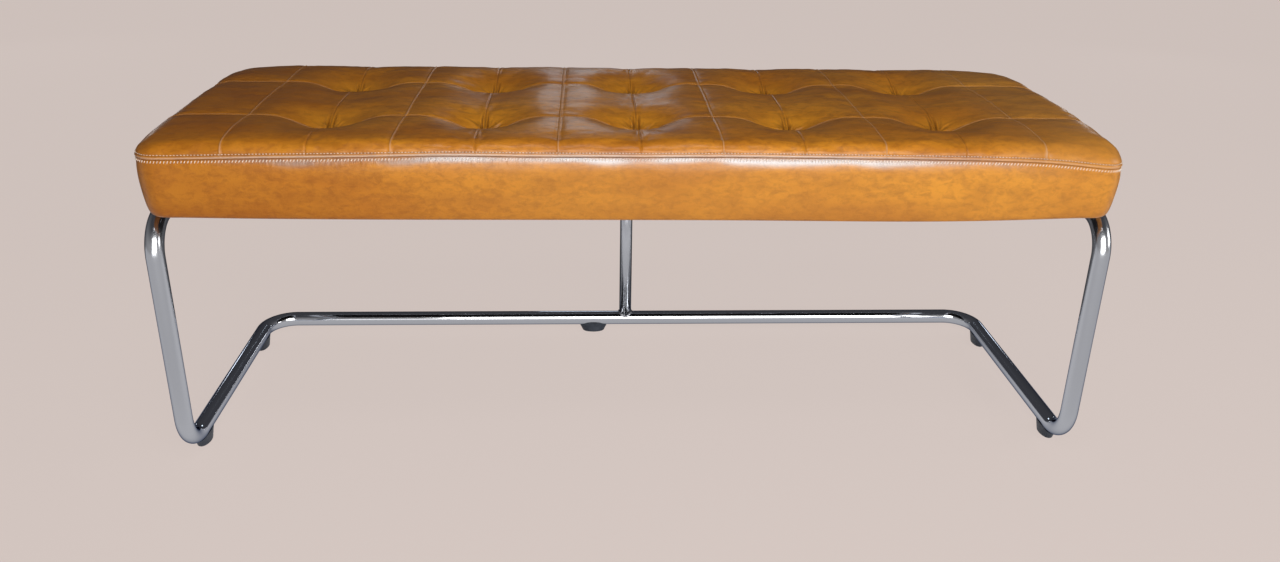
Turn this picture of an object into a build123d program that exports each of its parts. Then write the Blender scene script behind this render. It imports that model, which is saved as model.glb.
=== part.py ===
# Bench sofa: a blind-tufted leather seat on a bent chromed tube frame, in millimetres.
# The origin is on the floor under the middle of the bench, +Z is up and the front faces -Y.
from build123d import *
import math
import os

os.makedirs("parts", exist_ok=True)

# Seat: overall form
seat_length = 1310.0
seat_depth = 480.0
seat_underside = 385.0
band_height = 88.0  # side band, from the underside to the perimeter seam
band_draw_in = 5.0  # how far the sides lean in at the underside
corner_radius = 35.0  # plan radius of the corners, at the perimeter seam
hem_edge_radius = 8.0  # where the band turns under the seat
crown_height = 19.0  # crest seams above the perimeter seam
panel_puff = 3.0  # how far a panel swells between its seams
tuft_depth = 24.0  # tufts below the crest seams
valley_depth = 7.0  # cross seams through the tufts, at mid panel
long_roll = 26.0  # rolled edge inside the seam, along the front and back
end_roll = 46.0  # rolled edge inside the seam, at the two ends
seam_rise = 1.2  # how far the top stands above the seam at the very ends
end_panel = 117.5  # from the last crest seam to the end of the seat
side_panel = 137.5  # from a lengthwise seam to the front or back
tuft_columns = 5
tuft_rows = 2

# Seat: layers
leather_thickness = 1.5
layer_clearance = 0.3  # between soft layers
hem_width = 20.0  # leather turned under the timber
band_seam_from_back = 42.0  # upright seam where the back band starts
dust_cover_thickness = 0.6
dust_cover_border = 16.0  # from the band's lower outline to the dust cover
dust_cover_corner = 28.0

# Seat: timber frame and deck
rail_width = 45.0
rail_height = 36.0
cross_rail_width = 30.0
cross_rail_columns = 4
corner_block_leg = 60.0
deck_thickness = 9.0
timber_clearance = 0.3  # between the band and the timber

# Tufts
tie_diameter = 2.0
tie_hole_clearance = 0.5
knot_diameter = 5.0
anchor_diameter = 24.0
anchor_thickness = 3.0
anchor_edge = 0.8

# Frame
tube_outset = 7.5  # how far the tubes stand out beyond the ends of the seat
tube_diameter = 25.0
tube_wall = 2.0
bend_radius = 50.0
front_leg_setback = 25.0  # leg centre behind the seat's front
post_diameter = 22.0
weld_gap = 0.2  # between the post's saddle and the rails
sleeve_from_peg = 10.0  # from the end of a sleeve to the centre glide's peg hole
sleeve_wall = 2.5
sleeve_clearance = 0.2

# Glides
glide_height = 12.5  # from the floor to the underside of the tube
glide_cradle = 6.5  # how far a glide climbs up the tube
glide_length = 50.0  # at the underside of the tube
glide_foot_length = 38.0
glide_width = 25.0  # at the top of the cradle
glide_foot_width = 20.0
glide_from_bend = 13.0
glide_edge = 1.0
glide_clearance = 0.15
centre_glide_offset = 59.0  # beside the post, along the rear rail
peg_diameter = 8.0
peg_length = 9.0  # above the underside of the tube
peg_clearance = 0.15

# Mounting tabs and screws
tab_width = 34.0
tab_thickness = 3.0
tab_corner = 8.0
tab_weld_gap = 0.1
tab_from_bend = 25.0  # from the end of a bend to the nearest tab's middle
tab_hole_from_tube = 20.0  # from the tube's centre line
tab_hole_inset = 16.0  # from the tab's free end
screw_diameter = 6.0
screw_hole_clearance = 0.4
screw_length = 24.0
screw_head_diameter = 12.0
screw_head_height = 3.6
socket_size = 4.0
socket_depth = 2.2
washer_diameter = 14.0
washer_thickness = 1.2
insert_diameter = 9.0
insert_length = 15.0
insert_clearance = 0.05
insert_hole_spare = 2.5  # depth left above the screw

# Worked out
half_length = seat_length / 2
half_depth = seat_depth / 2
seam_height = seat_underside + band_height
panel_pitch = (half_length - end_panel) / tuft_columns
half_row = half_depth - side_panel
tube_radius = tube_diameter / 2
floor_tube_height = glide_height + tube_radius
seat_tube_height = seat_underside - tube_radius
leg_y = -half_depth + front_leg_setback
rear_y = half_depth - tube_radius
leg_x = half_length + tube_outset - tube_radius
timber_underside = seat_underside + leather_thickness
deck_underside = timber_underside + rail_height
deck_top = deck_underside + deck_thickness
timber_length = seat_length - 2 * (band_draw_in + leather_thickness + timber_clearance)
timber_depth = seat_depth - 2 * (band_draw_in + leather_thickness + timber_clearance)
tuft_height = seam_height + crown_height - tuft_depth
dust_cover_underside = seat_underside - dust_cover_thickness
tab_underside = dust_cover_underside - tab_thickness
timber_corner_radius = corner_radius - leather_thickness - timber_clearance
hem_corner_radius = dust_cover_corner + dust_cover_border - hem_width
seam_turn = 2 * leather_thickness  # leather of the top turned in at the perimeter seam
foam_inset = leather_thickness + layer_clearance
tie_hole_radius = tie_diameter / 2 + tie_hole_clearance
knot_height = deck_underside - anchor_thickness - knot_diameter / 2
screw_hole_radius = screw_diameter / 2 + screw_hole_clearance
insert_hole_radius = insert_diameter / 2 + insert_clearance
glide_top = glide_height + glide_cradle
glide_top_length = glide_foot_length + (glide_length - glide_foot_length) * glide_top / glide_height
peg_hole_radius = peg_diameter / 2 + peg_clearance
sleeve_length = 2 * (centre_glide_offset - peg_hole_radius - sleeve_from_peg)
head_top = tab_underside - washer_thickness
insert_hole_depth = head_top + screw_length - timber_underside + insert_hole_spare
overrun = tube_diameter  # how far a cut runs past what it cuts

# Glides: middle of each one on the floor, and the turn that lays it along its tube
front_glide_y = leg_y + bend_radius + glide_from_bend
rear_glide_y = rear_y - bend_radius - glide_from_bend
glide_places = {
    "front_left_glide": (-leg_x, front_glide_y, 90),
    "front_right_glide": (leg_x, front_glide_y, 90),
    "rear_left_glide": (-leg_x, rear_glide_y, 90),
    "rear_right_glide": (leg_x, rear_glide_y, 90),
    "centre_glide": (-centre_glide_offset, rear_y, 0),
}

# Mounting tabs: the screw hole of each one, and the turn that points its weld at the tube
weld_edge = math.sqrt(tube_radius**2 - (tab_underside - seat_tube_height) ** 2) + tab_weld_gap
tab_length = tab_hole_inset + tab_hole_from_tube - weld_edge
side_tab_x = leg_x - tab_hole_from_tube
front_tab_y = leg_y + bend_radius + tab_from_bend
back_tab_y = rear_y - bend_radius - tab_from_bend
rear_tab_x = (cross_rail_columns - 1) * panel_pitch
tab_places = []
for y in (front_tab_y, (front_tab_y + back_tab_y) / 2, back_tab_y):
    tab_places += [(side_tab_x, y, 0), (-side_tab_x, y, 180)]
for x in (-rear_tab_x, rear_tab_x):
    tab_places.append((x, rear_y - tab_hole_from_tube, 90))
screw_points = [(x, y) for x, y, turn in tab_places]

# Places of the end stations, from the end of the seat, as shares of the end roll;
# the first one lies on the flat part of the end panel
end_station_shares = (1.6, 1.0, 0.6, 0.32, 0.14, 0.04, 0.0)
bay_half_shares = (0.0, 0.25, 0.5, 0.75, 1.0)  # stations from a tuft to a crest seam
end_puff_share = 0.3  # swell of the panels that is left at the very ends
arc_middle_share = math.sqrt(0.5)  # place of a quarter arc's middle, as a share of its radius


def half_depth_at(station, inset):
    """Half depth of the seat's plan outline at a station along its length."""
    radius = corner_radius - inset
    into_corner = abs(station) - (half_length - inset - radius)
    if into_corner <= 0:
        return half_depth - inset
    return half_depth - inset - radius + math.sqrt(max(radius**2 - into_corner**2, 0))


def bay_stations():
    """Stations across one bay, from crest seam to crest seam with a tuft column between."""
    steps = len(bay_half_shares) - 1
    outward = [panel_pitch * share for share in bay_half_shares]
    return [-place for place in reversed(outward[1:])] + outward


def end_stations(inset):
    """Stations from the last crest seam out over the rolled end."""
    last_crest = panel_pitch * tuft_columns
    return [last_crest] + [half_length - inset - share * end_roll for share in end_station_shares]


def end_rise_share(station, inset):
    """Share of the crown reached at a station: a quarter ellipse over the rolled end."""
    from_end = half_length - inset - abs(station)
    into_roll = 1 - min(from_end / end_roll, 1)
    return math.sqrt(1 - into_roll**2)


def tuft_share(station):
    """Share of the tuft's depth at a station: one at a tuft, zero at a crest seam."""
    if abs(station) > panel_pitch * tuft_columns:
        return 0
    return ((1 + math.cos(math.pi * station / panel_pitch)) / 2) ** 2


def seat_outline(station, inset, base_height):
    """Outline of the seat's cross-section at a station: base, sides and five arcs over the top."""
    side = half_depth_at(station, inset)
    seam = seam_height - inset
    rise = end_rise_share(station, inset)
    dip = tuft_share(station)
    row = seam + seam_rise + (crown_height - seam_rise) * rise - tuft_depth * dip
    shoulder = seam + seam_rise + (crown_height - seam_rise - valley_depth * dip / 2) * rise
    puff = panel_puff * (end_puff_share + (1 - end_puff_share) * rise)
    panel = seam + seam_rise + (crown_height - seam_rise) * rise + puff - valley_depth * dip
    roll_middle = (
        side - long_roll * (1 - arc_middle_share),
        seam + (shoulder - seam) * arc_middle_share,
    )
    shoulder_y = side - long_roll
    side_panel_y = (shoulder_y + half_row) / 2
    with BuildLine() as outline:
        Line((side, base_height), (-side, base_height))
        Line((-side, base_height), (-side, seam))
        ThreePointArc((-side, seam), (-roll_middle[0], roll_middle[1]), (-shoulder_y, shoulder))
        ThreePointArc((-shoulder_y, shoulder), (-side_panel_y, panel), (-half_row, row))
        ThreePointArc((-half_row, row), (0, panel), (half_row, row))
        ThreePointArc((half_row, row), (side_panel_y, panel), (shoulder_y, shoulder))
        ThreePointArc((shoulder_y, shoulder), roll_middle, (side, seam))
        Line((side, seam), (side, base_height))
    return outline.line


def seat_body(inset, base_height):
    """The seat's form above a base height: equal tufted bays between two rolled ends."""
    with BuildPart() as bay:
        for place in bay_stations():
            with BuildSketch(Plane.YZ.offset(place)):
                make_face(seat_outline(place, inset, base_height).edges())
        loft()
    with BuildPart() as end:
        for place in end_stations(inset):
            with BuildSketch(Plane.YZ.offset(place)):
                make_face(seat_outline(place, inset, base_height).edges())
        loft(ruled=True)
    with BuildPart() as body:
        with GridLocations(2 * panel_pitch, 0, tuft_columns, 1):
            add(bay.part)
        add(end.part)
        mirror(end.part, about=Plane.YZ)
    return body.part


def leaning_block(inset, low, high):
    """Block with the side band's leaning sides and rounded corners, between two heights."""
    with BuildPart() as block:
        for height in (low, high):
            lean = inset + band_draw_in * (seam_height - height) / band_height
            with BuildSketch(Plane.XY.offset(height)):
                RectangleRounded(seat_length - 2 * lean, seat_depth - 2 * lean, corner_radius - inset)
        loft()
    return block.part


def crosswise(depth):
    """Upright plane across the seat at a depth, facing the back."""
    return Plane(origin=(0, depth, 0), z_dir=(0, 1, 0))


def tuft_grid():
    """Places of the tufts in plan."""
    return GridLocations(2 * panel_pitch, 2 * half_row, tuft_columns, tuft_rows)


# Leather cover: the quilted top, open underneath, down to the perimeter seam
with BuildPart() as cover_top:
    add(seat_body(0, tuft_height - overrun))
    add(seat_body(leather_thickness, tuft_height - 2 * overrun), mode=Mode.SUBTRACT)
    with BuildSketch(Plane.XY.offset(seam_height)):
        Rectangle(seat_length + overrun, seat_depth + overrun)
        RectangleRounded(
            seat_length - 2 * seam_turn,
            seat_depth - 2 * seam_turn,
            corner_radius - seam_turn,
            mode=Mode.SUBTRACT,
        )
    extrude(amount=-2 * overrun, mode=Mode.SUBTRACT)
cover_top.part.label = "cover_top"
export_step(cover_top.part, "parts/cover_top.step")

# Leather cover: the side band with its hem turned under the timber
with BuildPart() as band_outside:
    add(leaning_block(0, seat_underside, seam_height))
    fillet(band_outside.edges().group_by(Axis.Z)[0], hem_edge_radius)
with BuildPart() as band_inside:
    add(leaning_block(leather_thickness, timber_underside, seam_height + overrun))
    fillet(band_inside.edges().group_by(Axis.Z)[0], hem_edge_radius - leather_thickness)
with BuildPart() as band:
    add(band_outside.part)
    add(band_inside.part, mode=Mode.SUBTRACT)
    hem_inset = band_draw_in + hem_width
    with BuildSketch(Plane.XY.offset(seat_underside - overrun)):
        RectangleRounded(
            seat_length - 2 * hem_inset, seat_depth - 2 * hem_inset, hem_corner_radius
        )
        with Locations(*screw_points):
            Circle(screw_hole_radius)
    extrude(amount=2 * overrun, mode=Mode.SUBTRACT)
band_seam_plane = crosswise(half_depth - band_seam_from_back)

with BuildPart() as cover_band_front:
    add(band.part)
    split(bisect_by=band_seam_plane, keep=Keep.BOTTOM)
cover_band_front.part.label = "cover_band_front"
export_step(cover_band_front.part, "parts/cover_band_front.step")

with BuildPart() as cover_band_back:
    add(band.part)
    split(bisect_by=band_seam_plane, keep=Keep.TOP)
cover_band_back.part.label = "cover_band_back"
export_step(cover_band_back.part, "parts/cover_band_back.step")

# Foam core on the deck, a clearance inside the leather, with a hole for each tie
with BuildPart() as foam_core:
    add(seat_body(foam_inset, deck_top))
    add(leaning_block(foam_inset, deck_top, seam_height + overrun * 2), mode=Mode.INTERSECT)
    with Locations((0, 0, deck_top)):
        with tuft_grid():
            Cylinder(tie_hole_radius, 2 * (tuft_height - deck_top), mode=Mode.SUBTRACT)
foam_core.part.label = "foam_core"
export_step(foam_core.part, "parts/foam_core.step")

# Plywood deck
with BuildPart() as seat_deck:
    with BuildSketch(Plane.XY.offset(deck_underside)):
        RectangleRounded(timber_length, timber_depth, timber_corner_radius)
        with tuft_grid():
            Circle(tie_hole_radius, mode=Mode.SUBTRACT)
    extrude(amount=deck_thickness)
seat_deck.part.label = "seat_deck"
export_step(seat_deck.part, "parts/seat_deck.step")

# Timber frame: a ring with a rounded lower edge, cut into four rails
with BuildPart() as timber_ring:
    with BuildSketch(Plane.XY.offset(timber_underside)):
        RectangleRounded(timber_length, timber_depth, timber_corner_radius)
    extrude(amount=rail_height)
    fillet(timber_ring.edges().group_by(Axis.Z)[0], hem_edge_radius - leather_thickness)
    with BuildSketch(Plane.XY.offset(timber_underside)):
        Rectangle(timber_length - 2 * rail_width, timber_depth - 2 * rail_width)
    extrude(amount=rail_height, mode=Mode.SUBTRACT)
    with Locations(*[(x, y, timber_underside) for x, y in screw_points]):
        Cylinder(insert_hole_radius, 2 * insert_hole_depth, mode=Mode.SUBTRACT)
front_joint = crosswise(rail_width - timber_depth / 2)
back_joint = crosswise(timber_depth / 2 - rail_width)

with BuildPart() as seat_front_rail:
    add(timber_ring.part)
    split(bisect_by=front_joint, keep=Keep.BOTTOM)
seat_front_rail.part.label = "seat_front_rail"
export_step(seat_front_rail.part, "parts/seat_front_rail.step")

with BuildPart() as seat_back_rail:
    add(timber_ring.part)
    split(bisect_by=back_joint, keep=Keep.TOP)
seat_back_rail.part.label = "seat_back_rail"
export_step(seat_back_rail.part, "parts/seat_back_rail.step")

for name, kept in (("seat_left_rail", Keep.BOTTOM), ("seat_right_rail", Keep.TOP)):
    with BuildPart() as end_rail:
        add(timber_ring.part)
        split(bisect_by=front_joint, keep=Keep.TOP)
        split(bisect_by=back_joint, keep=Keep.BOTTOM)
        split(bisect_by=Plane.YZ, keep=kept)
    end_rail.part.label = name
    export_step(end_rail.part, f"parts/{name}.step")

# Cross rails under the crest seams, clear of the tufts
with BuildPart() as cross_rails:
    with BuildSketch(Plane.XY.offset(timber_underside)):
        with GridLocations(2 * panel_pitch, 0, cross_rail_columns, 1):
            Rectangle(cross_rail_width, timber_depth - 2 * rail_width)
    extrude(amount=rail_height)
cross_rails.part.label = "cross_rails"
export_step(cross_rails.part, "parts/cross_rails.step")

# Glued triangular blocks in the corners of the timber frame
with BuildPart() as corner_blocks:
    inner_x = timber_length / 2 - rail_width
    inner_y = timber_depth / 2 - rail_width
    with BuildSketch(Plane.XY.offset(timber_underside)):
        with BuildLine():
            Polyline(
                (inner_x, inner_y),
                (inner_x - corner_block_leg, inner_y),
                (inner_x, inner_y - corner_block_leg),
                close=True,
            )
        make_face()
    extrude(amount=rail_height)
    mirror(about=Plane.YZ)
    mirror(about=Plane.XZ)
corner_blocks.part.label = "corner_blocks"
export_step(corner_blocks.part, "parts/corner_blocks.step")

# Tufts: an anchor disc under the deck and a knotted tie up to the leather
with BuildPart() as tuft_anchors:
    with BuildSketch(Plane.XY.offset(deck_underside - anchor_thickness)):
        with tuft_grid():
            Circle(anchor_diameter / 2)
            Circle(tie_hole_radius, mode=Mode.SUBTRACT)
    extrude(amount=anchor_thickness)
    rims = tuft_anchors.edges().filter_by(GeomType.CIRCLE).filter_by(
        lambda edge: edge.radius > tie_diameter
    )
    chamfer(rims.group_by(Axis.Z)[0], anchor_edge)
tuft_anchors.part.label = "tuft_anchors"
export_step(tuft_anchors.part, "parts/tuft_anchors.step")

with BuildPart() as tuft_ties:
    with BuildSketch(Plane.XY.offset(knot_height)):
        with tuft_grid():
            Circle(tie_diameter / 2)
    extrude(amount=tuft_height - leather_thickness - layer_clearance - knot_height)
    with Locations((0, 0, knot_height)):
        with tuft_grid():
            Sphere(knot_diameter / 2)
tuft_ties.part.label = "tuft_ties"
export_step(tuft_ties.part, "parts/tuft_ties.step")

# Dust cover over the underside, holed for the screws
with BuildPart() as dust_cover:
    with BuildSketch(Plane.XY.offset(dust_cover_underside)):
        cover_inset = band_draw_in + dust_cover_border
        RectangleRounded(
            seat_length - 2 * cover_inset, seat_depth - 2 * cover_inset, dust_cover_corner
        )
        with Locations(*screw_points):
            Circle(screw_hole_radius, mode=Mode.SUBTRACT)
    extrude(amount=dust_cover_thickness)
dust_cover.part.label = "dust_cover"
export_step(dust_cover.part, "parts/dust_cover.step")


# Frame: one bent tube for each half, joined under the post
def frame_route(side):
    """Centre line of one half of the frame: floor rail, runner, leg and back under the seat."""
    with BuildLine() as route:
        FilletPolyline(
            (0, rear_y, floor_tube_height),
            (side * leg_x, rear_y, floor_tube_height),
            (side * leg_x, leg_y, floor_tube_height),
            (side * leg_x, leg_y, seat_tube_height),
            (side * leg_x, rear_y, seat_tube_height),
            (0, rear_y, seat_tube_height),
            radius=bend_radius,
        )
    return route.wires()[0]


for name, side in (("left_frame_tube", -1), ("right_frame_tube", 1)):
    with BuildPart() as frame_tube:
        route = frame_route(side)
        with BuildSketch(Plane(origin=route @ 0, z_dir=route % 0)):
            Circle(tube_radius)
            Circle(tube_radius - tube_wall, mode=Mode.SUBTRACT)
        sweep(path=route)
        with Locations(*[(x, y, glide_height) for x, y, turn in glide_places.values()]):
            Cylinder(peg_hole_radius, tube_diameter, mode=Mode.SUBTRACT)
    frame_tube.part.label = name
    export_step(frame_tube.part, f"parts/{name}.step")

for name, height in (("floor_rail_sleeve", floor_tube_height), ("seat_rail_sleeve", seat_tube_height)):
    with BuildPart() as sleeve:
        with BuildSketch(Plane.YZ.offset(-sleeve_length / 2)):
            with Locations((rear_y, height)):
                Circle(tube_radius - tube_wall - sleeve_clearance)
                Circle(tube_radius - tube_wall - sleeve_clearance - sleeve_wall, mode=Mode.SUBTRACT)
        extrude(amount=sleeve_length)
    sleeve.part.label = name
    export_step(sleeve.part, f"parts/{name}.step")

# Centre post, its ends cut to saddle the rails
with BuildPart() as centre_post:
    with BuildSketch(Plane.XY.offset(floor_tube_height)):
        with Locations((0, rear_y)):
            Circle(post_diameter / 2)
            Circle(post_diameter / 2 - tube_wall, mode=Mode.SUBTRACT)
    extrude(amount=seat_tube_height - floor_tube_height)
    with BuildSketch(Plane.YZ.offset(-post_diameter)):
        with Locations((rear_y, floor_tube_height), (rear_y, seat_tube_height)):
            Circle(tube_radius + weld_gap)
    extrude(amount=2 * post_diameter, mode=Mode.SUBTRACT)
centre_post.part.label = "centre_post"
export_step(centre_post.part, "parts/centre_post.step")

# Space that the two frame tubes take, with the glides' clearance
with BuildPart() as tube_space:
    route = frame_route(1)
    with BuildSketch(Plane(origin=route @ 0, z_dir=route % 0)):
        Circle(tube_radius + glide_clearance)
    sweep(path=route)
    mirror(about=Plane.YZ)

# Glides: oblong tapered feet that cradle the tube, each with a peg into it
with BuildPart() as glide_block:
    with BuildSketch(Plane.XY):
        Ellipse(glide_foot_length / 2, glide_foot_width / 2)
    with BuildSketch(Plane.XY.offset(glide_top)):
        Ellipse(glide_top_length / 2, glide_width / 2)
    loft()
    chamfer(glide_block.edges().group_by(Axis.Z)[0], glide_edge)
    with BuildSketch(Plane.YZ.offset(-glide_length)):
        with Locations((0, floor_tube_height)):
            Circle(tube_radius + glide_clearance)
    extrude(amount=2 * glide_length, mode=Mode.SUBTRACT)

for name, (x, y, turn) in glide_places.items():
    with BuildPart() as glide:
        with Locations(Location((x, y, 0), (0, 0, turn))):
            add(glide_block.part)
        add(tube_space.part, mode=Mode.SUBTRACT)
        with BuildSketch(Plane.XY.offset(glide_height / 2)):
            with Locations((x, y)):
                Circle(peg_diameter / 2)
        extrude(amount=glide_height / 2 + peg_length)
    glide.part.label = name
    export_step(glide.part, f"parts/{name}.step")

# Mounting tabs, welded to the seat-level tubes and pointing inwards
with BuildPart() as tab:
    with BuildSketch(Plane.XY.offset(tab_underside)) as tab_plan:
        with Locations((tab_length / 2 - tab_hole_inset, 0)):
            Rectangle(tab_length, tab_width)
        fillet(tab_plan.vertices().group_by(Axis.X)[0], tab_corner)
        Circle(screw_hole_radius, mode=Mode.SUBTRACT)
    extrude(amount=tab_thickness)

with BuildPart() as mounting_tabs:
    with Locations(*[Location((x, y, 0), (0, 0, turn)) for x, y, turn in tab_places]):
        add(tab.part)
mounting_tabs.part.label = "mounting_tabs"
export_step(mounting_tabs.part, "parts/mounting_tabs.step")

# Fixings at each tab: a threaded insert in the timber, a washer and a socket-head screw
with BuildPart() as threaded_inserts:
    with BuildSketch(Plane.XY.offset(timber_underside)):
        with Locations(*screw_points):
            Circle(insert_diameter / 2)
            Circle(screw_diameter / 2 + insert_clearance, mode=Mode.SUBTRACT)
    extrude(amount=insert_length)
threaded_inserts.part.label = "threaded_inserts"
export_step(threaded_inserts.part, "parts/threaded_inserts.step")

with BuildPart() as washers:
    with BuildSketch(Plane.XY.offset(tab_underside - washer_thickness)):
        with Locations(*screw_points):
            Circle(washer_diameter / 2)
            Circle(screw_hole_radius, mode=Mode.SUBTRACT)
    extrude(amount=washer_thickness)
washers.part.label = "washers"
export_step(washers.part, "parts/washers.step")

with BuildPart() as screw:
    with BuildSketch(Plane.XY.offset(head_top)):
        Circle(screw_diameter / 2)
    extrude(amount=screw_length)
    with BuildSketch(Plane.XY.offset(head_top)):
        Circle(screw_head_diameter / 2)
    extrude(amount=-screw_head_height)
    fillet(screw.edges().group_by(Axis.Z)[0], screw_head_height / 2)
    with BuildSketch(Plane.XY.offset(head_top - screw_head_height)):
        RegularPolygon(socket_size / 2, 6, major_radius=False)
    extrude(amount=socket_depth, mode=Mode.SUBTRACT)

with BuildPart() as screws:
    with Locations(*screw_points):
        add(screw.part)
screws.part.label = "screws"
export_step(screws.part, "parts/screws.step")
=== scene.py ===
import math
import bmesh
import bpy
import numpy as np
from mathutils import Matrix, Vector
from mathutils.bvhtree import BVHTree


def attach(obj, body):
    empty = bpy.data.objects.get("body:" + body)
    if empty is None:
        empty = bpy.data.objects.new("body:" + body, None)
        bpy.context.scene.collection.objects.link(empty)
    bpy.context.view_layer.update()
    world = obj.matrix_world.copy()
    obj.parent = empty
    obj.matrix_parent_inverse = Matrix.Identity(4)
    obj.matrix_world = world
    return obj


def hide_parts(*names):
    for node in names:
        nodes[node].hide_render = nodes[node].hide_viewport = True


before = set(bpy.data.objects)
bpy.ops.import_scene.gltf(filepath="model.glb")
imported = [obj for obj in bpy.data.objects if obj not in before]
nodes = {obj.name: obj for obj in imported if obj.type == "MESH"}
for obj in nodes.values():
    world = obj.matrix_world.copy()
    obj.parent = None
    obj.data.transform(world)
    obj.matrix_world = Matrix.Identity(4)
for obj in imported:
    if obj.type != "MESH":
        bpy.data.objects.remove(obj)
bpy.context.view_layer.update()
scene = bpy.context.scene
print("frame loaded:", len(nodes), "nodes")


# helpers: nodes of any tree

def plug(tree, socket, value):
    if isinstance(value, bpy.types.NodeSocket):
        tree.links.new(value, socket)
    else:
        socket.default_value = value


def feed(tree, node, inputs):
    for key, value in inputs.items():
        plug(tree, node.inputs[key], value)


def addNode(tree, kind, inputs=None, **settings):
    made = tree.nodes.new(kind)
    for key, value in settings.items():
        setattr(made, key, value)
    feed(tree, made, inputs or {})
    return made


def addRamp(tree, factor, stops):
    made = addNode(tree, "ShaderNodeValToRGB", {"Fac": factor})
    ramp = made.color_ramp
    while len(ramp.elements) < len(stops):
        ramp.elements.new(0.5)
    for element, (place, shade) in zip(ramp.elements, stops):
        element.position = place
        element.color = (*shade, 1)
    return made.outputs["Color"]


def addNoise(tree, vector, scale, detail=3.0, roughness=0.5, distortion=0.0):
    made = addNode(tree, "ShaderNodeTexNoise", {
        "Vector": vector, "Scale": scale, "Detail": detail,
        "Roughness": roughness, "Distortion": distortion})
    return made.outputs["Fac"]


def addMath(tree, operation, *values):
    made = addNode(tree, "ShaderNodeMath", operation=operation)
    for socket, value in zip(made.inputs, values):
        plug(tree, socket, value)
    return made.outputs["Value"]


def addMix(tree, factor, first, second, blend="MIX"):
    made = addNode(tree, "ShaderNodeMix", data_type="RGBA", blend_type=blend)
    plug(tree, made.inputs[0], factor)
    for index, colour in ((6, first), (7, second)):
        plug(tree, made.inputs[index], (*colour, 1) if isinstance(colour, tuple) else colour)
    return made.outputs[2]


def addSpan(tree, value, fromLow, fromHigh, toLow=0.0, toHigh=1.0, smooth=False):
    made = addNode(tree, "ShaderNodeMapRange", {
        "Value": value, "From Min": fromLow, "From Max": fromHigh, "To Min": toLow, "To Max": toHigh},
        interpolation_type="SMOOTHSTEP" if smooth else "LINEAR")
    return made.outputs["Result"]


def addAxis(tree, vector, axis):
    return addNode(tree, "ShaderNodeSeparateXYZ", {"Vector": vector}).outputs[axis]


def addStretch(tree, vector, scale):
    return addNode(tree, "ShaderNodeMapping", {"Vector": vector, "Scale": scale}).outputs["Vector"]


# helpers: materials

def newMaterial(name, settings):
    material = bpy.data.materials.new(name)
    material.use_nodes = True
    tree = material.node_tree
    shader = tree.nodes["Principled BSDF"]
    feed(tree, shader, settings)
    objectSpace = addNode(tree, "ShaderNodeTexCoord").outputs["Object"]
    return material, tree, shader, objectSpace


def addBump(tree, shader, height, strength, distance, under=None):
    inputs = {"Height": height, "Strength": strength, "Distance": distance}
    if under is not None:
        inputs["Normal"] = under
    made = addNode(tree, "ShaderNodeBump", inputs).outputs["Normal"]
    feed(tree, shader, {"Normal": made})
    return made


# helpers: meshes

def addObject(name, mesh):
    made = bpy.data.objects.new(name, mesh)
    scene.collection.objects.link(made)
    return made


def newPiece(name, points, faces, material, smooth=True):
    mesh = bpy.data.meshes.new(name)
    mesh.from_pydata([tuple(map(float, p)) for p in points], [], faces)
    mesh.materials.append(material)
    mesh.update()
    if smooth:
        mesh.shade_smooth()
    return addObject(name, mesh)


def plainMesh(source, name, material=None):
    graph = bpy.context.evaluated_depsgraph_get()
    mesh = bpy.data.meshes.new_from_object(source.evaluated_get(graph))
    mesh.name = name
    if material is not None:
        mesh.materials.clear()
        mesh.materials.append(material)
    source.modifiers.clear()
    bpy.data.objects.remove(source)
    return addObject(name, mesh)


def pathObject(name, points, closed, outward=None, breaks=()):
    # one path, or several where breaks names the last point of each but the last
    count = len(points)
    edges = [(i, i + 1) for i in range(count - 1) if i not in breaks] + ([(count - 1, 0)] if closed else [])
    mesh = bpy.data.meshes.new(name)
    mesh.from_pydata([tuple(map(float, p)) for p in points], edges, [])
    if outward is not None:
        layer = mesh.attributes.new("outward", "FLOAT_VECTOR", "POINT")
        layer.data.foreach_set("vector", np.asarray(outward, np.float32).ravel())
    return addObject(name, mesh)


# helpers: geometry nodes

def newTree(name, inputs):
    # a tree that starts from a path: the tree, its inputs, and the path as a curve
    tree = bpy.data.node_groups.new(name, "GeometryNodeTree")
    tree.is_modifier = True
    tree.interface.new_socket("Geometry", in_out="INPUT", socket_type="NodeSocketGeometry")
    for label, kind in inputs:
        tree.interface.new_socket(label, in_out="INPUT", socket_type="NodeSocket" + kind)
    tree.interface.new_socket("Geometry", in_out="OUTPUT", socket_type="NodeSocketGeometry")
    start = tree.nodes.new("NodeGroupInput")
    path = addNode(tree, "GeometryNodeMeshToCurve", {"Mesh": start.outputs["Geometry"]})
    return tree, start.outputs, path.outputs["Curve"]


def addSweep(tree, curve, around, radius, caps=False):
    ring = addNode(tree, "GeometryNodeCurvePrimitiveCircle", {
        "Resolution": around, "Radius": radius}, mode="RADIUS")
    return addNode(tree, "GeometryNodeCurveToMesh", {
        "Curve": curve, "Profile Curve": ring.outputs["Curve"], "Fill Caps": caps}).outputs["Mesh"]


def addRow(tree, path, pitch, outward):
    # evenly spaced points along the path, and a turn that sets Z outwards and X along it
    spaced = addNode(tree, "GeometryNodeResampleCurve", {"Curve": path, "Length": pitch}, mode="LENGTH")
    tangent = addNode(tree, "GeometryNodeInputTangent")
    facing = addNode(tree, "FunctionNodeAxesToRotation", {
        "Primary Axis": outward, "Secondary Axis": tangent.outputs["Tangent"]},
        primary_axis="Z", secondary_axis="X")
    return spaced.outputs["Curve"], facing.outputs["Rotation"]


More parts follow.
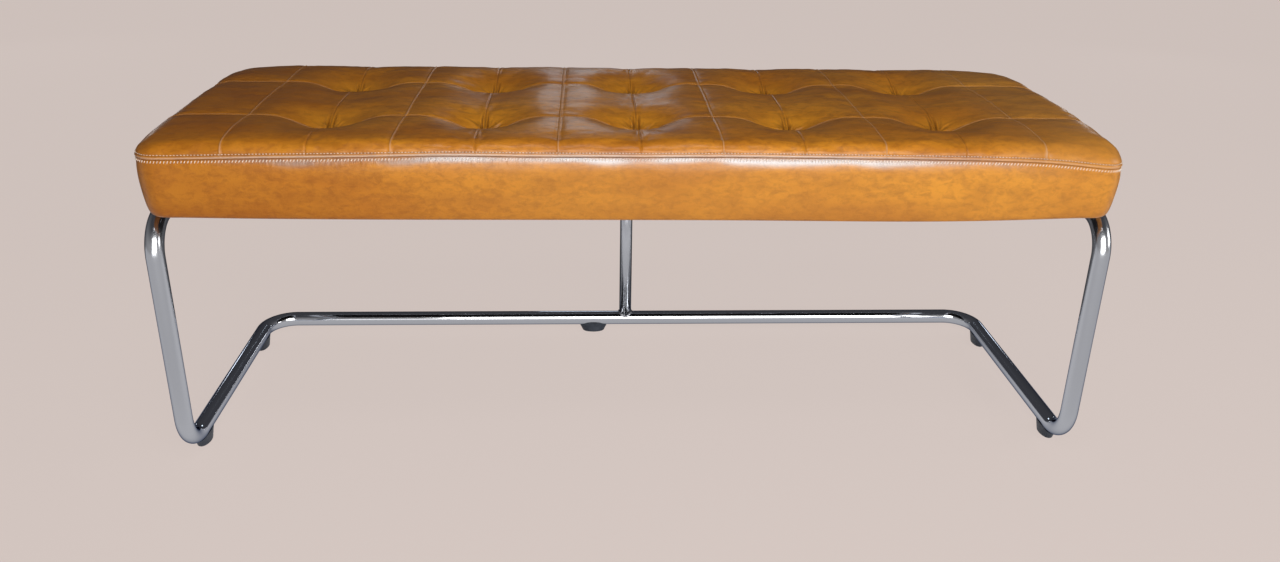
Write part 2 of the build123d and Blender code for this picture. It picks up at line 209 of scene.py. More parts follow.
def endTree(tree, geometry, material, smooth=True):
    if smooth:
        geometry = addNode(tree, "GeometryNodeSetShadeSmooth", {"Geometry": geometry}).outputs["Geometry"]
    real = addNode(tree, "GeometryNodeRealizeInstances", {"Geometry": geometry})
    finished = addNode(tree, "GeometryNodeSetMaterial", {
        "Geometry": real.outputs["Geometry"], "Material": material})
    addNode(tree, "NodeGroupOutput", {"Geometry": finished.outputs["Geometry"]})


def runTree(source, tree, values, name):
    modifier = source.modifiers.new("build", "NODES")
    modifier.node_group = tree
    for item in tree.interface.items_tree:
        if item.item_type == "SOCKET" and item.in_out == "INPUT" and item.name in values:
            modifier[item.identifier] = values[item.name]
    return plainMesh(source, name)


# camera: the photograph's viewpoint

camera = {
    "place": (-0.0707, -1.5704, 0.8681),
    "yaw": 3.10, "pitch": 23.14, "roll": -1.08,
    "lens": 29.91, "sensor": 36.0, "clip": (0.05, 60.0),
}


def makeCamera(settings):
    yaw, pitch, roll = (math.radians(settings[key]) for key in ("yaw", "pitch", "roll"))
    forward = Vector((math.sin(yaw) * math.cos(pitch), math.cos(yaw) * math.cos(pitch), -math.sin(pitch)))
    right = Vector((math.cos(yaw), -math.sin(yaw), 0))
    down = forward.cross(right)
    rightTurned = math.cos(roll) * right + math.sin(roll) * down
    downTurned = math.cos(roll) * down - math.sin(roll) * right
    turn = Matrix((rightTurned, -downTurned, -forward)).transposed().to_4x4()
    data = bpy.data.cameras.new("photoCamera")
    data.lens, data.sensor_width = settings["lens"], settings["sensor"]
    data.sensor_fit = "HORIZONTAL"
    data.clip_start, data.clip_end = settings["clip"]
    made = addObject("photoCamera", data)
    made.matrix_world = Matrix.Translation(settings["place"]) @ turn
    scene.camera = made


makeCamera(camera)

# studio: floor, world and soft lamps

studio = {
    "floorHalf": 14.0,
    "floorColour": (0.655, 0.566, 0.528),
    "floorEven": (0.712, 0.616, 0.577),
    "floorGlow": 0.84,  # share of the floor's shade that is even
    # mirrored in the chrome, the floor is bright in front of the object and dim behind it
    "floorMirrored": (0.56, 0.548, 0.560),
    "mirroredSpan": 0.6,
    "mirroredStops": ((0.10, 0.80), (0.48, 0.98), (0.68, 0.80), (0.77, 0.20)),
    "backdrop": (0.645, 0.560, 0.523),  # what the camera sees beyond the floor
    "worldFront": (0.62, 0.60, 0.60),
    "worldBack": (0.10, 0.10, 0.115),
    "worldTop": (0.10, 0.10, 0.11),
    "worldStrength": 0.50,
    "frontToBack": (-0.6, 0.8), "sideToTop": (0.25, 0.8),
    # name: place, aim, size, power, colour
    "lamps": {
        "frontSoftbox": ((0.34, -2.3, 1.12), (0.08, 0.0, 0.42), (2.0, 1.4), 41.5, (1.0, 0.98, 0.95)),
        "lowStrip": ((0.0, -2.9, 0.42), (0.0, 0.2, 0.05), (2.4, 0.5), 5.0, (1.0, 0.99, 0.98)),
        "sideFill": ((2.8, -0.7, 1.0), (0.5, 0.0, 0.45), (1.0, 1.0), 11.0, (1.0, 0.98, 0.96)),
        "overheadStrip": ((0.0, -1.0, 2.2), (0.0, -0.2, 0.45), (0.9, 0.4), 6.0, (1.0, 0.98, 0.98)),
        "rearWindow": ((-0.08, 3.0, 1.25), (-0.05, 0.1, 0.49), (0.42, 0.5), 1.5, (0.80, 0.90, 1.0)),
        "rearLeftStrip": ((-2.4, 3.0, 0.62), (-0.65, 0.0, 0.04), (0.14, 0.4), 0.8, (0.95, 0.98, 1.0)),
        "rearRightStrip": ((2.4, 3.0, 0.62), (0.65, 0.0, 0.04), (0.14, 0.4), 0.8, (0.95, 0.98, 1.0)),
    },
}


def makeFloor(settings):
    material = bpy.data.materials.new("paleFloor")
    material.use_nodes = True
    tree = material.node_tree
    tree.nodes.remove(tree.nodes["Principled BSDF"])
    rays = addNode(tree, "ShaderNodeLightPath").outputs
    even = addNode(tree, "ShaderNodeEmission", {"Color": (*settings["floorEven"], 1)})
    matt = addNode(tree, "ShaderNodeBsdfDiffuse", {"Color": (*settings["floorColour"], 1)})
    mixed = addNode(tree, "ShaderNodeMixShader", {
        0: addMath(tree, "MULTIPLY", rays["Is Camera Ray"], settings["floorGlow"]),
        1: matt.outputs[0], 2: even.outputs[0]})
    ahead = addAxis(tree, addNode(tree, "ShaderNodeTexCoord").outputs["Object"], "Y")
    span = addSpan(tree, ahead, -settings["mirroredSpan"], settings["mirroredSpan"])
    bright = addRamp(tree, span, [(place, (share,) * 3) for place, share in settings["mirroredStops"]])
    mirrored = addNode(tree, "ShaderNodeEmission", {
        "Color": addMix(tree, 1.0, settings["floorMirrored"], bright, "MULTIPLY")})
    surface = addNode(tree, "ShaderNodeMixShader", {
        0: rays["Is Glossy Ray"], 1: mixed.outputs[0], 2: mirrored.outputs[0]})
    tree.links.new(surface.outputs[0], tree.nodes["Material Output"].inputs["Surface"])
    half = settings["floorHalf"]
    corners = [(-half, -half, 0), (half, -half, 0), (half, half, 0), (-half, half, 0)]
    newPiece("studioFloor", corners, [(0, 1, 2, 3)], material, smooth=False)


def makeWorld(settings):
    world = bpy.data.worlds.new("studioWorld")
    scene.world = world
    world.use_nodes = True
    tree = world.node_tree
    direction = addNode(tree, "ShaderNodeTexCoord").outputs["Generated"]
    behind = addSpan(tree, addAxis(tree, direction, "Y"), *settings["frontToBack"])
    around = addMix(tree, behind, settings["worldFront"], settings["worldBack"])
    above = addSpan(tree, addAxis(tree, direction, "Z"), *settings["sideToTop"])
    background = tree.nodes["Background"]
    feed(tree, background, {
        "Color": addMix(tree, above, around, settings["worldTop"]), "Strength": settings["worldStrength"]})
    backdrop = addNode(tree, "ShaderNodeBackground", {"Color": (*settings["backdrop"], 1)})
    seen = addNode(tree, "ShaderNodeMixShader", {
        0: addNode(tree, "ShaderNodeLightPath").outputs["Is Camera Ray"],
        1: background.outputs[0], 2: backdrop.outputs[0]})
    tree.links.new(seen.outputs[0], tree.nodes["World Output"].inputs["Surface"])


def makeLamps(settings):
    for name, (place, aim, size, power, colour) in settings["lamps"].items():
        data = bpy.data.lights.new(name, "AREA")
        data.shape = "RECTANGLE"
        data.size, data.size_y = size
        data.energy, data.color = power, colour
        lamp = addObject(name, data)
        lamp.location = place
        lamp.rotation_euler = (Vector(aim) - Vector(place)).to_track_quat("-Z", "Y").to_euler()


makeFloor(studio)
makeWorld(studio)
makeLamps(studio)
scene.view_settings.view_transform = "Standard"
print("camera and studio ready")

# finishes

leatherLook = {
    # besides the leather's own tones, some colours paint light and shade: a paler tone for the lit end and
    # front band, a brighter orange for the tufts' far walls, a grey under the gloss strip as highlight, a
    # pale seam colour that is part highlight, and a near-black for the folds' shade; the darker tone serves
    # the shaded left end and the band's lower edge
    "light": (0.72, 0.288, 0.020), "mid": (0.53, 0.182, 0.013), "dark": (0.27, 0.078, 0.007),
    "paleWearAndHighlight": (0.74, 0.54, 0.39), "shadow": (0.09, 0.030, 0.006), "highlightGrey": (0.25, 0.26, 0.29),
    "paintedLightTone": (0.80, 0.42, 0.10), "darkerTone": (0.35, 0.098, 0.005), "tuftWallGlow": (0.82, 0.34, 0.022),
    # patterns: stretch, scale, detail, roughness, distortion, and where the ramp starts and ends
    "tone": ((0.5, 1.3, 1.3), 9.0, 4.0, 0.55, 0.3, 0.34, 0.64),
    "mottle": ((0.75, 1.25, 1.2), 105.0, 6.0, 0.66, 0.4, 0.44, 0.66),
    "cloud": ((0.5, 1.3, 1.3), 30.0, 5.0, 0.62, 0.0, 0.45, 0.70),
    # one end is darker as painted shade; the other end of the top and the front band are paler as painted
    # light: from and to along X
    "leftEndShade": (-0.20, -0.66), "rightEndLight": (0.40, 0.60), "front": (-0.50, 0.0),
    # what is laid over the tone, one after the other: where, how much of it, which shade
    # painted shade: the left end and the folds; painted light: the right end, the front band, the tufts' far
    # walls and the grey under the gloss strip; the pale seams are wear and painted highlight
    "layers": (
        ("mottle", 0.52, "dark"), ("cloud", 0.38, "dark"), ("leftEndShade", 0.46, "darkerTone"),
        ("hem", 0.30, "darkerTone"), ("rightEndLight", 0.26, "paintedLightTone"), ("front", 0.20, "paintedLightTone"),
        ("tuftWallLight", 0.62, "tuftWallGlow"), ("glossAndHighlight", 0.84, "highlightGrey"), ("paleSeamAndHighlight", 0.85, "paleWearAndHighlight"),
        ("foldShade", 0.8, "shadow")),
    "coatRoughness": 0.16, "coatIor": 1.8,
    # what polish adds, and what is there without it
    "coat": (0.94, 0.06), "specular": (0.50, 0.37), "smoother": -0.14,
    "roughness": (0.29, 0.44), "roughScale": 24.0,
    # bumps: scale, strength and depth
    "pebble": (620.0, 0.10, 0.0006), "creases": (150.0, 0.16, 0.0012), "pucker": (190.0, 0.55, 0.0022),
    "creaseStretch": (1.0, 1.6, 1.6), "puckerStretch": (1.0, 1.0, 0.12),
}
metalLook = {"smudge": (0.3, 0.75), "dullFrom": (0.045, 0.10), "grainScale": 14.0, "grainDepth": 0.0004}


def addPattern(tree, vector, pattern, low=(0, 0, 0), high=(1, 1, 1)):
    scaled, scale, detail, roughness, distortion, start, end = pattern
    noise = addNoise(tree, addStretch(tree, vector, scaled), scale, detail, roughness, distortion)
    return addRamp(tree, noise, [(start, low), (end, high)])


def makeLeather(look):
    material, tree, shader, objectSpace = newMaterial("tanLeather", {
        "Coat Roughness": look["coatRoughness"], "Coat IOR": look["coatIor"]})
    read = {name: addNode(tree, "ShaderNodeAttribute", attribute_name=name).outputs["Fac"]
            for name in ("side", "hem", "tuftWallLight", "glossAndHighlight", "paleSeamAndHighlight", "foldShade", "pucker")}
    along = addAxis(tree, objectSpace, "X")
    # painted shade at the left end, painted light at the right end of the top and along the front band
    ends = {name: addSpan(tree, along, *look[name], smooth=True) for name in ("leftEndShade", "rightEndLight", "front")}
    sources = {
        **read, "leftEndShade": ends["leftEndShade"],
        "mottle": addPattern(tree, objectSpace, look["mottle"]),
        "cloud": addPattern(tree, objectSpace, look["cloud"]),
        "rightEndLight": addMath(tree, "MULTIPLY", ends["rightEndLight"], addMath(tree, "SUBTRACT", 1.0, read["side"])),
        "front": addMath(tree, "MULTIPLY", read["side"], ends["front"]),
    }
    colour = addPattern(tree, objectSpace, look["tone"], look["mid"], look["light"])
    # the layers mix in the leather's own tones, pale seam wear, and painted light and shade
    for name, share, shade in look["layers"]:
        colour = addMix(tree, addMath(tree, "MULTIPLY", sources[name], share), colour, look[shade])
    rough = addSpan(tree, addNoise(tree, objectSpace, look["roughScale"]), 0.0, 1.0, *look["roughness"])
    feed(tree, shader, {
        "Base Color": colour,
        "Coat Weight": addMath(tree, "MULTIPLY_ADD", read["glossAndHighlight"], *look["coat"]),
        "Specular IOR Level": addMath(tree, "MULTIPLY_ADD", read["glossAndHighlight"], *look["specular"]),
        "Roughness": addMath(tree, "MULTIPLY_ADD", read["glossAndHighlight"], look["smoother"], rough)})
    # pebbled grain, fine creases, and small puckers that hang from the stitches
    scale, strength, depth = look["pebble"]
    pebble = addNode(tree, "ShaderNodeTexVoronoi", {
        "Vector": objectSpace, "Scale": scale}).outputs["Distance"]
    grain = addBump(tree, shader, pebble, strength, depth)
    scale, strength, depth = look["creases"]
    creased = addNoise(tree, addStretch(tree, objectSpace, look["creaseStretch"]), scale, 5.0, 0.6)
    lines = addBump(tree, shader, creased, strength, depth, grain)
    scale, strength, depth = look["pucker"]
    ripple = addNoise(tree, addStretch(tree, objectSpace, look["puckerStretch"]), scale, 2.0)
    addBump(tree, shader, addMath(tree, "MULTIPLY", ripple, read["pucker"]), strength, depth, lines)
    return material


def makeMetal(name, colour, roughness, spread, scale, bump=0.02, rim=(1, 1, 1), dulled=0.0):
    material, tree, shader, objectSpace = newMaterial(name, {
        "Base Color": (*colour, 1), "Metallic": 1.0, "Specular Tint": (*rim, 1)})
    smudge = addNoise(tree, objectSpace, scale, 4.0, 0.6)
    rough = addSpan(tree, smudge, *metalLook["smudge"], roughness, roughness + spread)
    # duller where shoes and hands rub, above the floor runs
    dull = addSpan(tree, addAxis(tree, objectSpace, "Z"), *metalLook["dullFrom"], 0.0, dulled)
    feed(tree, shader, {"Roughness": addMath(tree, "ADD", rough, dull)})
    grain = addNoise(tree, objectSpace, scale * metalLook["grainScale"], 2.0)
    addBump(tree, shader, grain, bump, metalLook["grainDepth"])
    return material


def makePlastic(name, dark, light, roughness, scale):
    material, tree, shader, objectSpace = newMaterial(name, {})
    tone = addRamp(tree, addNoise(tree, objectSpace, scale, 4.0, 0.6), [(0.35, dark), (0.72, light)])
    rough = addSpan(tree, addNoise(tree, objectSpace, scale * 3), 0.0, 1.0,
                    roughness - 0.08, roughness + 0.12)
    feed(tree, shader, {"Base Color": tone, "Roughness": rough})
    addBump(tree, shader, addNoise(tree, objectSpace, scale * 25, 2.0), 0.12, 0.0003)
    return material


def makeWood(name, light, dark, ringScale, lengthwise):
    material, tree, shader, objectSpace = newMaterial(name, {"Roughness": 0.62, "Specular IOR Level": 0.3})
    along = addStretch(tree, objectSpace, (0.08, 1, 1) if lengthwise else (1, 0.08, 1))
    rings = addNode(tree, "ShaderNodeTexWave", {
        "Vector": along, "Scale": ringScale, "Distortion": 5.0, "Detail": 3.0, "Detail Scale": 1.5},
        wave_type="BANDS", bands_direction="Z").outputs["Fac"]
    pores = addNoise(tree, along, 420.0, 2.0)
    tone = addMix(tree, rings, light, dark)
    pored = addMix(tree, addMath(tree, "MULTIPLY", pores, 0.25), tone, dark)
    feed(tree, shader, {"Base Color": pored})
    addBump(tree, shader, pores, 0.15, 0.0004)
    return material


def makeFibre(name, dark, light, scale, roughness, bump):
    material, tree, shader, objectSpace = newMaterial(name, {
        "Roughness": roughness, "Specular IOR Level": 0.2})
    fibres, crossed = (addNoise(tree, addStretch(tree, objectSpace, way), scale, 5.0, 0.7, 1.0)
                       for way in ((1, 3, 1), (3, 1, 1)))
    web = addMath(tree, "MAXIMUM", fibres, crossed)
    feed(tree, shader, {"Base Color": addRamp(tree, web, [(0.45, dark), (0.75, light)])})
    addBump(tree, shader, web, bump, 0.0004)
    return material


leather = makeLeather(leatherLook)
chrome = makeMetal("chromedTube", (0.74, 0.765, 0.81), 0.06, 0.08, 9.0, 0.008, (0.14, 0.17, 0.25), 0.12)
weldMetal = makeMetal("weldedChrome", (0.50, 0.51, 0.54), 0.18, 0.14, 60.0, 0.05, (0.2, 0.2, 0.25))
plainSteel = makeMetal("drawnSteel", (0.55, 0.55, 0.56), 0.30, 0.15, 40.0)
zincSteel = makeMetal("zincSteel", (0.66, 0.67, 0.68), 0.28, 0.14, 60.0)
glidePlastic = makePlastic("glidePlastic", (0.022, 0.028, 0.042), (0.060, 0.072, 0.095), 0.42, 60.0)
anchorPlastic = makePlastic("anchorPlastic", (0.70, 0.70, 0.66), (0.85, 0.85, 0.82), 0.45, 80.0)
beech = makeWood("sawnBeech", (0.60, 0.42, 0.26), (0.46, 0.29, 0.16), 22.0, True)
beechAcross = makeWood("sawnBeechAcross", (0.60, 0.42, 0.26), (0.46, 0.29, 0.16), 22.0, False)
plywood = makeWood("birchPlywood", (0.66, 0.50, 0.33), (0.55, 0.38, 0.22), 260.0, True)
cambric = makeFibre("blackCambric", (0.006, 0.006, 0.007), (0.03, 0.03, 0.033), 300.0, 0.85, 0.25)
twine = makeFibre("waxedTwine", (0.55, 0.48, 0.36), (0.78, 0.72, 0.60), 900.0, 0.7, 0.4)
thread = makeFibre("paleThread", (0.80, 0.68, 0.56), (0.93, 0.85, 0.77), 900.0, 0.55, 0.3)
seamThread = makeFibre("tanThread", (0.48, 0.26, 0.12), (0.66, 0.42, 0.24), 900.0, 0.6, 0.3)

carriedOver = [
    (chrome, ["mounting_tabs"]), (plainSteel, ["floor_rail_sleeve", "seat_rail_sleeve"]),
    (glidePlastic, ["front_left_glide", "front_right_glide", "rear_left_glide", "rear_right_glide",
                    "centre_glide"]),
    (beech, ["seat_front_rail", "seat_back_rail", "corner_blocks"]),
    (beechAcross, ["seat_left_rail", "seat_right_rail", "cross_rails"]), (plywood, ["seat_deck"]),
    (anchorPlastic, ["tuft_anchors"]), (twine, ["tuft_ties"]),
    (zincSteel, ["threaded_inserts", "washers", "screws"]),
]
for finish, nodeNames in carriedOver:
    for nodeName in nodeNames:
        nodes[nodeName].data.materials.clear()
        nodes[nodeName].data.materials.append(finish)
print("finishes ready")

# leather seat: tufted top, perimeter seam and side band as one stuffed piece

seat = {
    "halfLength": 0.655, "halfDepth": 0.240, "corner": 0.035,
    "seam": 0.473, "crown": 0.019, "puff": 0.0025, "endPuff": 0.3, "puffRise": 3,
    "tuftDepth": 0.0255, "valley": 0.007, "valleyAtEdge": 0.2, "wallPower": (2, 2.5),
    "longRoll": 0.023, "endRoll": 0.040, "rollPower": 2.5, "rollParts": 12,
    "cornerReach": 0.12, "cornerDrop": 0.38, "cornerPower": 1.2,
    "pitch": 0.1075, "row": 0.1025, "columns": 5, "step": 0.007,
    # distances of the mesh lines from a crest seam, a column of tufts and a lengthwise seam
    "crestLines": (0.0, 0.0011, 0.0026, 0.005),
    "tuftLines": (0.0, 0.0012, 0.0024, 0.0036, 0.0050, 0.0068, 0.0092, 0.0120, 0.0150, 0.0182, 0.0216, 0.0252,
                  0.0290, 0.0332, 0.0380),
    "rowLines": (0.0, 0.0012, 0.0026, 0.0044, 0.0066, 0.0092, 0.0120, 0.0150, 0.0182, 0.0216, 0.0252,
                 0.0290, 0.0332),
    # side band, from the seam down: drawn in, more of it in the middle of the front, height
    "band": [(0.0002, 0.0009, 0.4714), (0.0004, 0.0015, 0.4698), (0.0004, 0.0012, 0.4682),
             (0.0003, 0.0005, 0.4658), (0.0001, -0.0004, 0.4629), (-0.0002, -0.0012, 0.4595),
             (-0.0005, -0.0017, 0.4545), (-0.0007, -0.0016, 0.447),
             (-0.0005, -0.0011, 0.437), (0.0002, -0.0004, 0.426), (0.0013, 0, 0.414), (0.0028, 0, 0.403),
             (0.0046, 0, 0.3955), (0.0062, 0, 0.3905), (0.0084, 0, 0.3872), (0.0112, 0, 0.3856),
             (0.0146, 0, 0.3850), (0.0250, 0, 0.3850)],
    "middleReach": 0.60,
    # how far the front's lower edge hangs, the extra to the right, and the part of the band that does
    "hang": 0.0035, "rightHang": 0.0042, "rightHangAt": (0.46, 0.24),
    "hangBelow": 0.402, "hangFade": 0.012, "hangOutside": 0.009,
}


def bell(distance, width):
    return np.exp(-(distance / width) ** 2)


def clipped(values):
    return np.clip(values, 0, 1)


def eased(values):
    share = clipped(values)
    return share * share * (3 - 2 * share)


def axisPlaces(seams, halfSpan, step, rolls):
    # sorted places on one half-axis and their mirror images, close together at seams and on the roll
    places = set(round(p, 7) for p in rolls)
    for place, offsets in seams:
        for offset in offsets:
            for sign in (-1, 1):
                if abs(place + sign * offset) < halfSpan:
                    places.add(round(place + sign * offset, 7))
    known = sorted(p for p in places if p >= 0)
    filled = []
    for low, high in zip(known, known[1:]):
        parts = max(1, round((high - low) / step))
        filled += [low + (high - low) * i / parts for i in range(parts)]
    filled.append(known[-1])
    return np.array([-p for p in reversed(filled[1:])] + filled)


def seatLine(s, x, inner):
    # one line of the top, from the front seam over the panels to the back seam
    power = 2 / s["rollPower"]
    intoCorner = abs(x) - (s["halfLength"] - s["corner"])
    side = s["halfDepth"]
    if intoCorner > 0:
        side += math.sqrt(max(s["corner"] ** 2 - intoCorner ** 2, 0)) - s["corner"]
    shoulder = side - s["longRoll"]
    squeeze = (shoulder - s["row"]) / (s["halfDepth"] - s["longRoll"] - s["row"])
    panelY = np.where(np.abs(inner) > s["row"],
                      np.sign(inner) * (s["row"] + (np.abs(inner) - s["row"]) * squeeze), inner)
    intoRoll = max(0.0, abs(x) - (s["halfLength"] - s["endRoll"])) / s["endRoll"]
    rise = max(0.0, 1 - intoRoll ** s["rollPower"]) ** (1 / s["rollPower"])
    phase = x / s["pitch"]
    dip = ((1 + math.cos(math.pi * phase)) / 2) ** 2 if abs(phase) < s["columns"] else 0.0
    low = s["crown"] * rise - s["tuftDepth"] * dip
    puff = s["puff"] * (s["endPuff"] + (1 - s["endPuff"]) * rise) * min(1.0, rise * s["puffRise"])
    top = s["crown"] * rise + puff - s["valley"] * dip
    edge = (s["crown"] - s["valley"] * dip * s["valleyAtEdge"]) * rise
    ay = np.abs(panelY)
    wall = s["wallPower"][0] + s["wallPower"][1] * dip
    inside = low + (top - low) * (1 - (1 - clipped((s["row"] - ay) / s["row"])) ** wall)
    # outside the rows, a parabola through the row, the swell at mid panel and the shoulder
    share = clipped((ay - s["row"]) / (shoulder - s["row"]))
    outside = (low * (1 - share) * (1 - 2 * share) + 4 * top * share * (1 - share)
               + edge * share * (2 * share - 1))
    height = np.where(ay <= s["row"], inside, outside)
    angles = [math.pi / 2 * k / s["rollParts"] for k in range(s["rollParts"])]
    rollY = np.array([shoulder + s["longRoll"] * math.cos(a) ** power for a in angles])
    rollZ = np.array([edge * math.sin(a) ** power for a in angles])
    line = np.zeros((len(inner) + 2 * len(angles), 3))
    line[:, 0] = x
    line[:, 1] = np.concatenate([-rollY, panelY, rollY[::-1]])
    # the stuffing is thinner in the four corners
    nearEnd = clipped((abs(x) - s["halfLength"]) / s["cornerReach"] + 1)
    nearSide = clipped((np.abs(line[:, 1]) - s["halfDepth"]) / s["cornerReach"] + 1)
    lowered = 1 - s["cornerDrop"] * (nearEnd * nearSide) ** s["cornerPower"]
    line[:, 2] = s["seam"] + np.concatenate([rollZ, height, rollZ[::-1]]) * lowered
    return line


def seatGrid(s):
    columns = [(s["pitch"] * i, s["tuftLines"]) for i in range(0, s["columns"], 2)]
    columns += [(s["pitch"] * i, s["crestLines"]) for i in range(1, s["columns"] + 1, 2)]
    power = 2 / s["rollPower"]
    angles = [math.pi / 2 * k / s["rollParts"] for k in range(s["rollParts"] + 1)]
    endRoll = [s["halfLength"] - s["endRoll"] * (1 - abs(math.cos(a)) ** power) for a in angles]
    xs = axisPlaces(columns, s["halfLength"] - s["endRoll"], s["step"], endRoll)
    panelHalf = s["halfDepth"] - s["longRoll"]
    inner = axisPlaces([(s["row"], s["rowLines"]), (0, (0.0,))], panelHalf, s["step"], [panelHalf])
    return np.stack([seatLine(s, x, inner) for x in xs])


def seatBody(s):
    grid = seatGrid(s)
    nx, ny = grid.shape[:2]
    flat = grid.reshape(-1, 3)
    index = np.arange(nx * ny).reshape(nx, ny)
    faces = [(int(index[i, j]), int(index[i + 1, j]), int(index[i + 1, j + 1]), int(index[i, j + 1]))
             for i in range(nx - 1) for j in range(ny - 1)]
    loop = [int(k) for k in (*index[:, 0], *index[-1, 1:], *index[-2::-1, -1], *index[0, -2:0:-1])]
    rim = flat[loop][:, :2]
    tangent = np.roll(rim, -1, 0) - np.roll(rim, 1, 0)
    tangent /= np.linalg.norm(tangent, axis=1)[:, None]
    inward = np.stack([-tangent[:, 1], tangent[:, 0]], 1)
    # distance from the perimeter seam along the surface: above it counts up, the band counts down
    stepY = np.linalg.norm(np.diff(grid, axis=1), axis=2)
    fromFront = np.concatenate([np.zeros((nx, 1)), np.cumsum(stepY, 1)], 1)
    stepX = np.linalg.norm(np.diff(grid, axis=0), axis=2)
    fromLeft = np.concatenate([np.zeros((1, ny)), np.cumsum(stepX, 0)], 0)
    seamGap = np.minimum(np.minimum(fromFront, fromFront[:, -1:] - fromFront),
                         np.minimum(fromLeft, fromLeft[-1:, :] - fromLeft)).ravel()
    points, plan = [flat], [np.concatenate([flat[:, :2], seamGap[:, None]], 1)]
    lower, base, gap, last = loop, nx * ny, 0.0, (0.0, s["seam"])
    count = len(rim)
    middle = clipped(1 - (np.abs(rim[:, 0]) / s["middleReach"]) ** 4) * (rim[:, 1] < 0)
    at, width = s["rightHangAt"]
    slack = (s["hang"] + s["rightHang"] * bell(rim[:, 0] - at, width)) * middle
    for drawnIn, extra, height in s["band"]:
        gap -= math.hypot(drawnIn - last[0], height - last[1])
        last = (drawnIn, height)
        ring = rim + inward * (drawnIn + extra * middle)[:, None]
        hang = (slack * clipped((s["hangBelow"] - height) / s["hangFade"])
                * clipped(2 - drawnIn / s["hangOutside"]))
        points.append(np.concatenate([ring, (height - hang)[:, None]], 1))
        plan.append(np.concatenate([rim, np.full((count, 1), gap)], 1))
        upper, lower = lower, list(range(base, base + count))
        base += count
        faces += [(upper[m], lower[m], lower[(m + 1) % count], upper[(m + 1) % count]) for m in range(count)]
    return np.concatenate(points), faces, np.concatenate(plan), (nx, ny)


# distances on the seat that its relief, its wear and its swelling share

def seatPlaces(plan, s):
    x, y, gap = plan.T
    toCrest = np.abs(((x / s["pitch"]) % 2) - 1) * s["pitch"]
    reach = s["columns"] - 1
    column = np.clip(np.round(x / (2 * s["pitch"])) * 2 * s["pitch"], -reach * s["pitch"], reach * s["pitch"])
    tuftX, tuftY = x - column, np.where(y < 0, y + s["row"], y - s["row"])
    return {"x": x, "y": y, "gap": gap, "top": gap > 0.0, "toCrest": toCrest,
            "toColumn": s["pitch"] - toCrest, "toRow": np.abs(np.abs(y) - s["row"]),
            "tuftX": tuftX, "tuftY": tuftY, "toTuft": np.hypot(tuftX, tuftY)}


swelling = {
    "frames": 20, "limit": 0.006, "share": 0.4,
    # how firmly each part is held, and how far from its line that reaches
    "seamHold": 0.4, "seamReach": 0.0014, "tuftReach": 0.006, "rimReach": 0.004,
    "hemGap": -0.078, "bandHold": 0.5,
    "fabric": {
        "quality": 6, "mass": 0.3, "tension_stiffness": 12, "compression_stiffness": 12,
        "shear_stiffness": 6, "bending_stiffness": 1.5, "pin_stiffness": 4, "shrink_min": -0.012,
        "use_pressure": True, "uniform_pressure_force": 4.0, "vertex_group_mass": "held"},
}


def swell(points, faces, plan, s, look):
    # cloth under pressure: the panels fill out between the tufts, the seams and the perimeter
    model = newPiece("swellModel", points, faces, leather)
    p = seatPlaces(plan, s)
    toTuft = np.hypot(p["toRow"], p["toColumn"])
    weight = np.zeros(len(points))
    weight[p["top"] & (np.minimum(p["toCrest"], p["toRow"]) < look["seamReach"])] = look["seamHold"]
    weight[p["top"] & (toTuft < look["tuftReach"])] = 1.0
    weight[np.abs(p["gap"]) < look["rimReach"]] = 1.0
    weight[p["gap"] < look["hemGap"]] = 1.0
    weight[(p["gap"] <= -look["rimReach"]) & (p["gap"] >= look["hemGap"])] = look["bandHold"]
    group = model.vertex_groups.new(name="held")
    for level in sorted(set(weight[weight > 0])):
        group.add([int(k) for k in np.nonzero(weight == level)[0]], float(level), "REPLACE")
    cloth = model.modifiers.new("swell", "CLOTH")
    for key, value in look["fabric"].items():
        setattr(cloth.settings, key, value)
    cloth.settings.effector_weights.gravity = 0.0
    cloth.collision_settings.use_collision = False
    cloth.point_cache.frame_start, cloth.point_cache.frame_end = 1, look["frames"]
    for number in range(1, look["frames"] + 1):
        scene.frame_set(number)
    graph = bpy.context.evaluated_depsgraph_get()
    done = model.evaluated_get(graph).data
    moved = np.zeros(len(done.vertices) * 3, np.float32)
    done.vertices.foreach_get("co", moved)
    scene.frame_set(1)
    bpy.data.objects.remove(model)
    shift = moved.reshape(-1, 3) - points
    length = np.linalg.norm(shift, axis=1)
    print("swell: mean and most, mm:", *(round(float(v) * 1000, 2) for v in (length.mean(), length.max())))
    capped = shift * np.minimum(1, look["limit"] / np.maximum(length, 1e-9))[:, None]
    return points + look["share"] * capped


def softNoise(x, y, size, seed):
    # smooth noise from -1 to 1 with one feature each size; its lattice repeats after count features
    count, middle = 256, 100.0
    lattice = np.random.default_rng(seed).random((count, count)) * 2 - 1
    u, v = x / size + middle, y / size + middle
    i, j = np.floor(u).astype(int), np.floor(v).astype(int)
    a, b = eased(u - i), eased(v - j)
    i, j, i1, j1 = i % count, j % count, (i + 1) % count, (j + 1) % count
    return ((lattice[i, j] * (1 - a) + lattice[i1, j] * a) * (1 - b)
            + (lattice[i, j1] * (1 - a) + lattice[i1, j1] * a) * b)


def softLines(distance, shapes):
    # a sum of soft ridges and grooves, each a height, a place and a width
    return sum(height * bell(distance - place, width) for height, place, width in shapes)


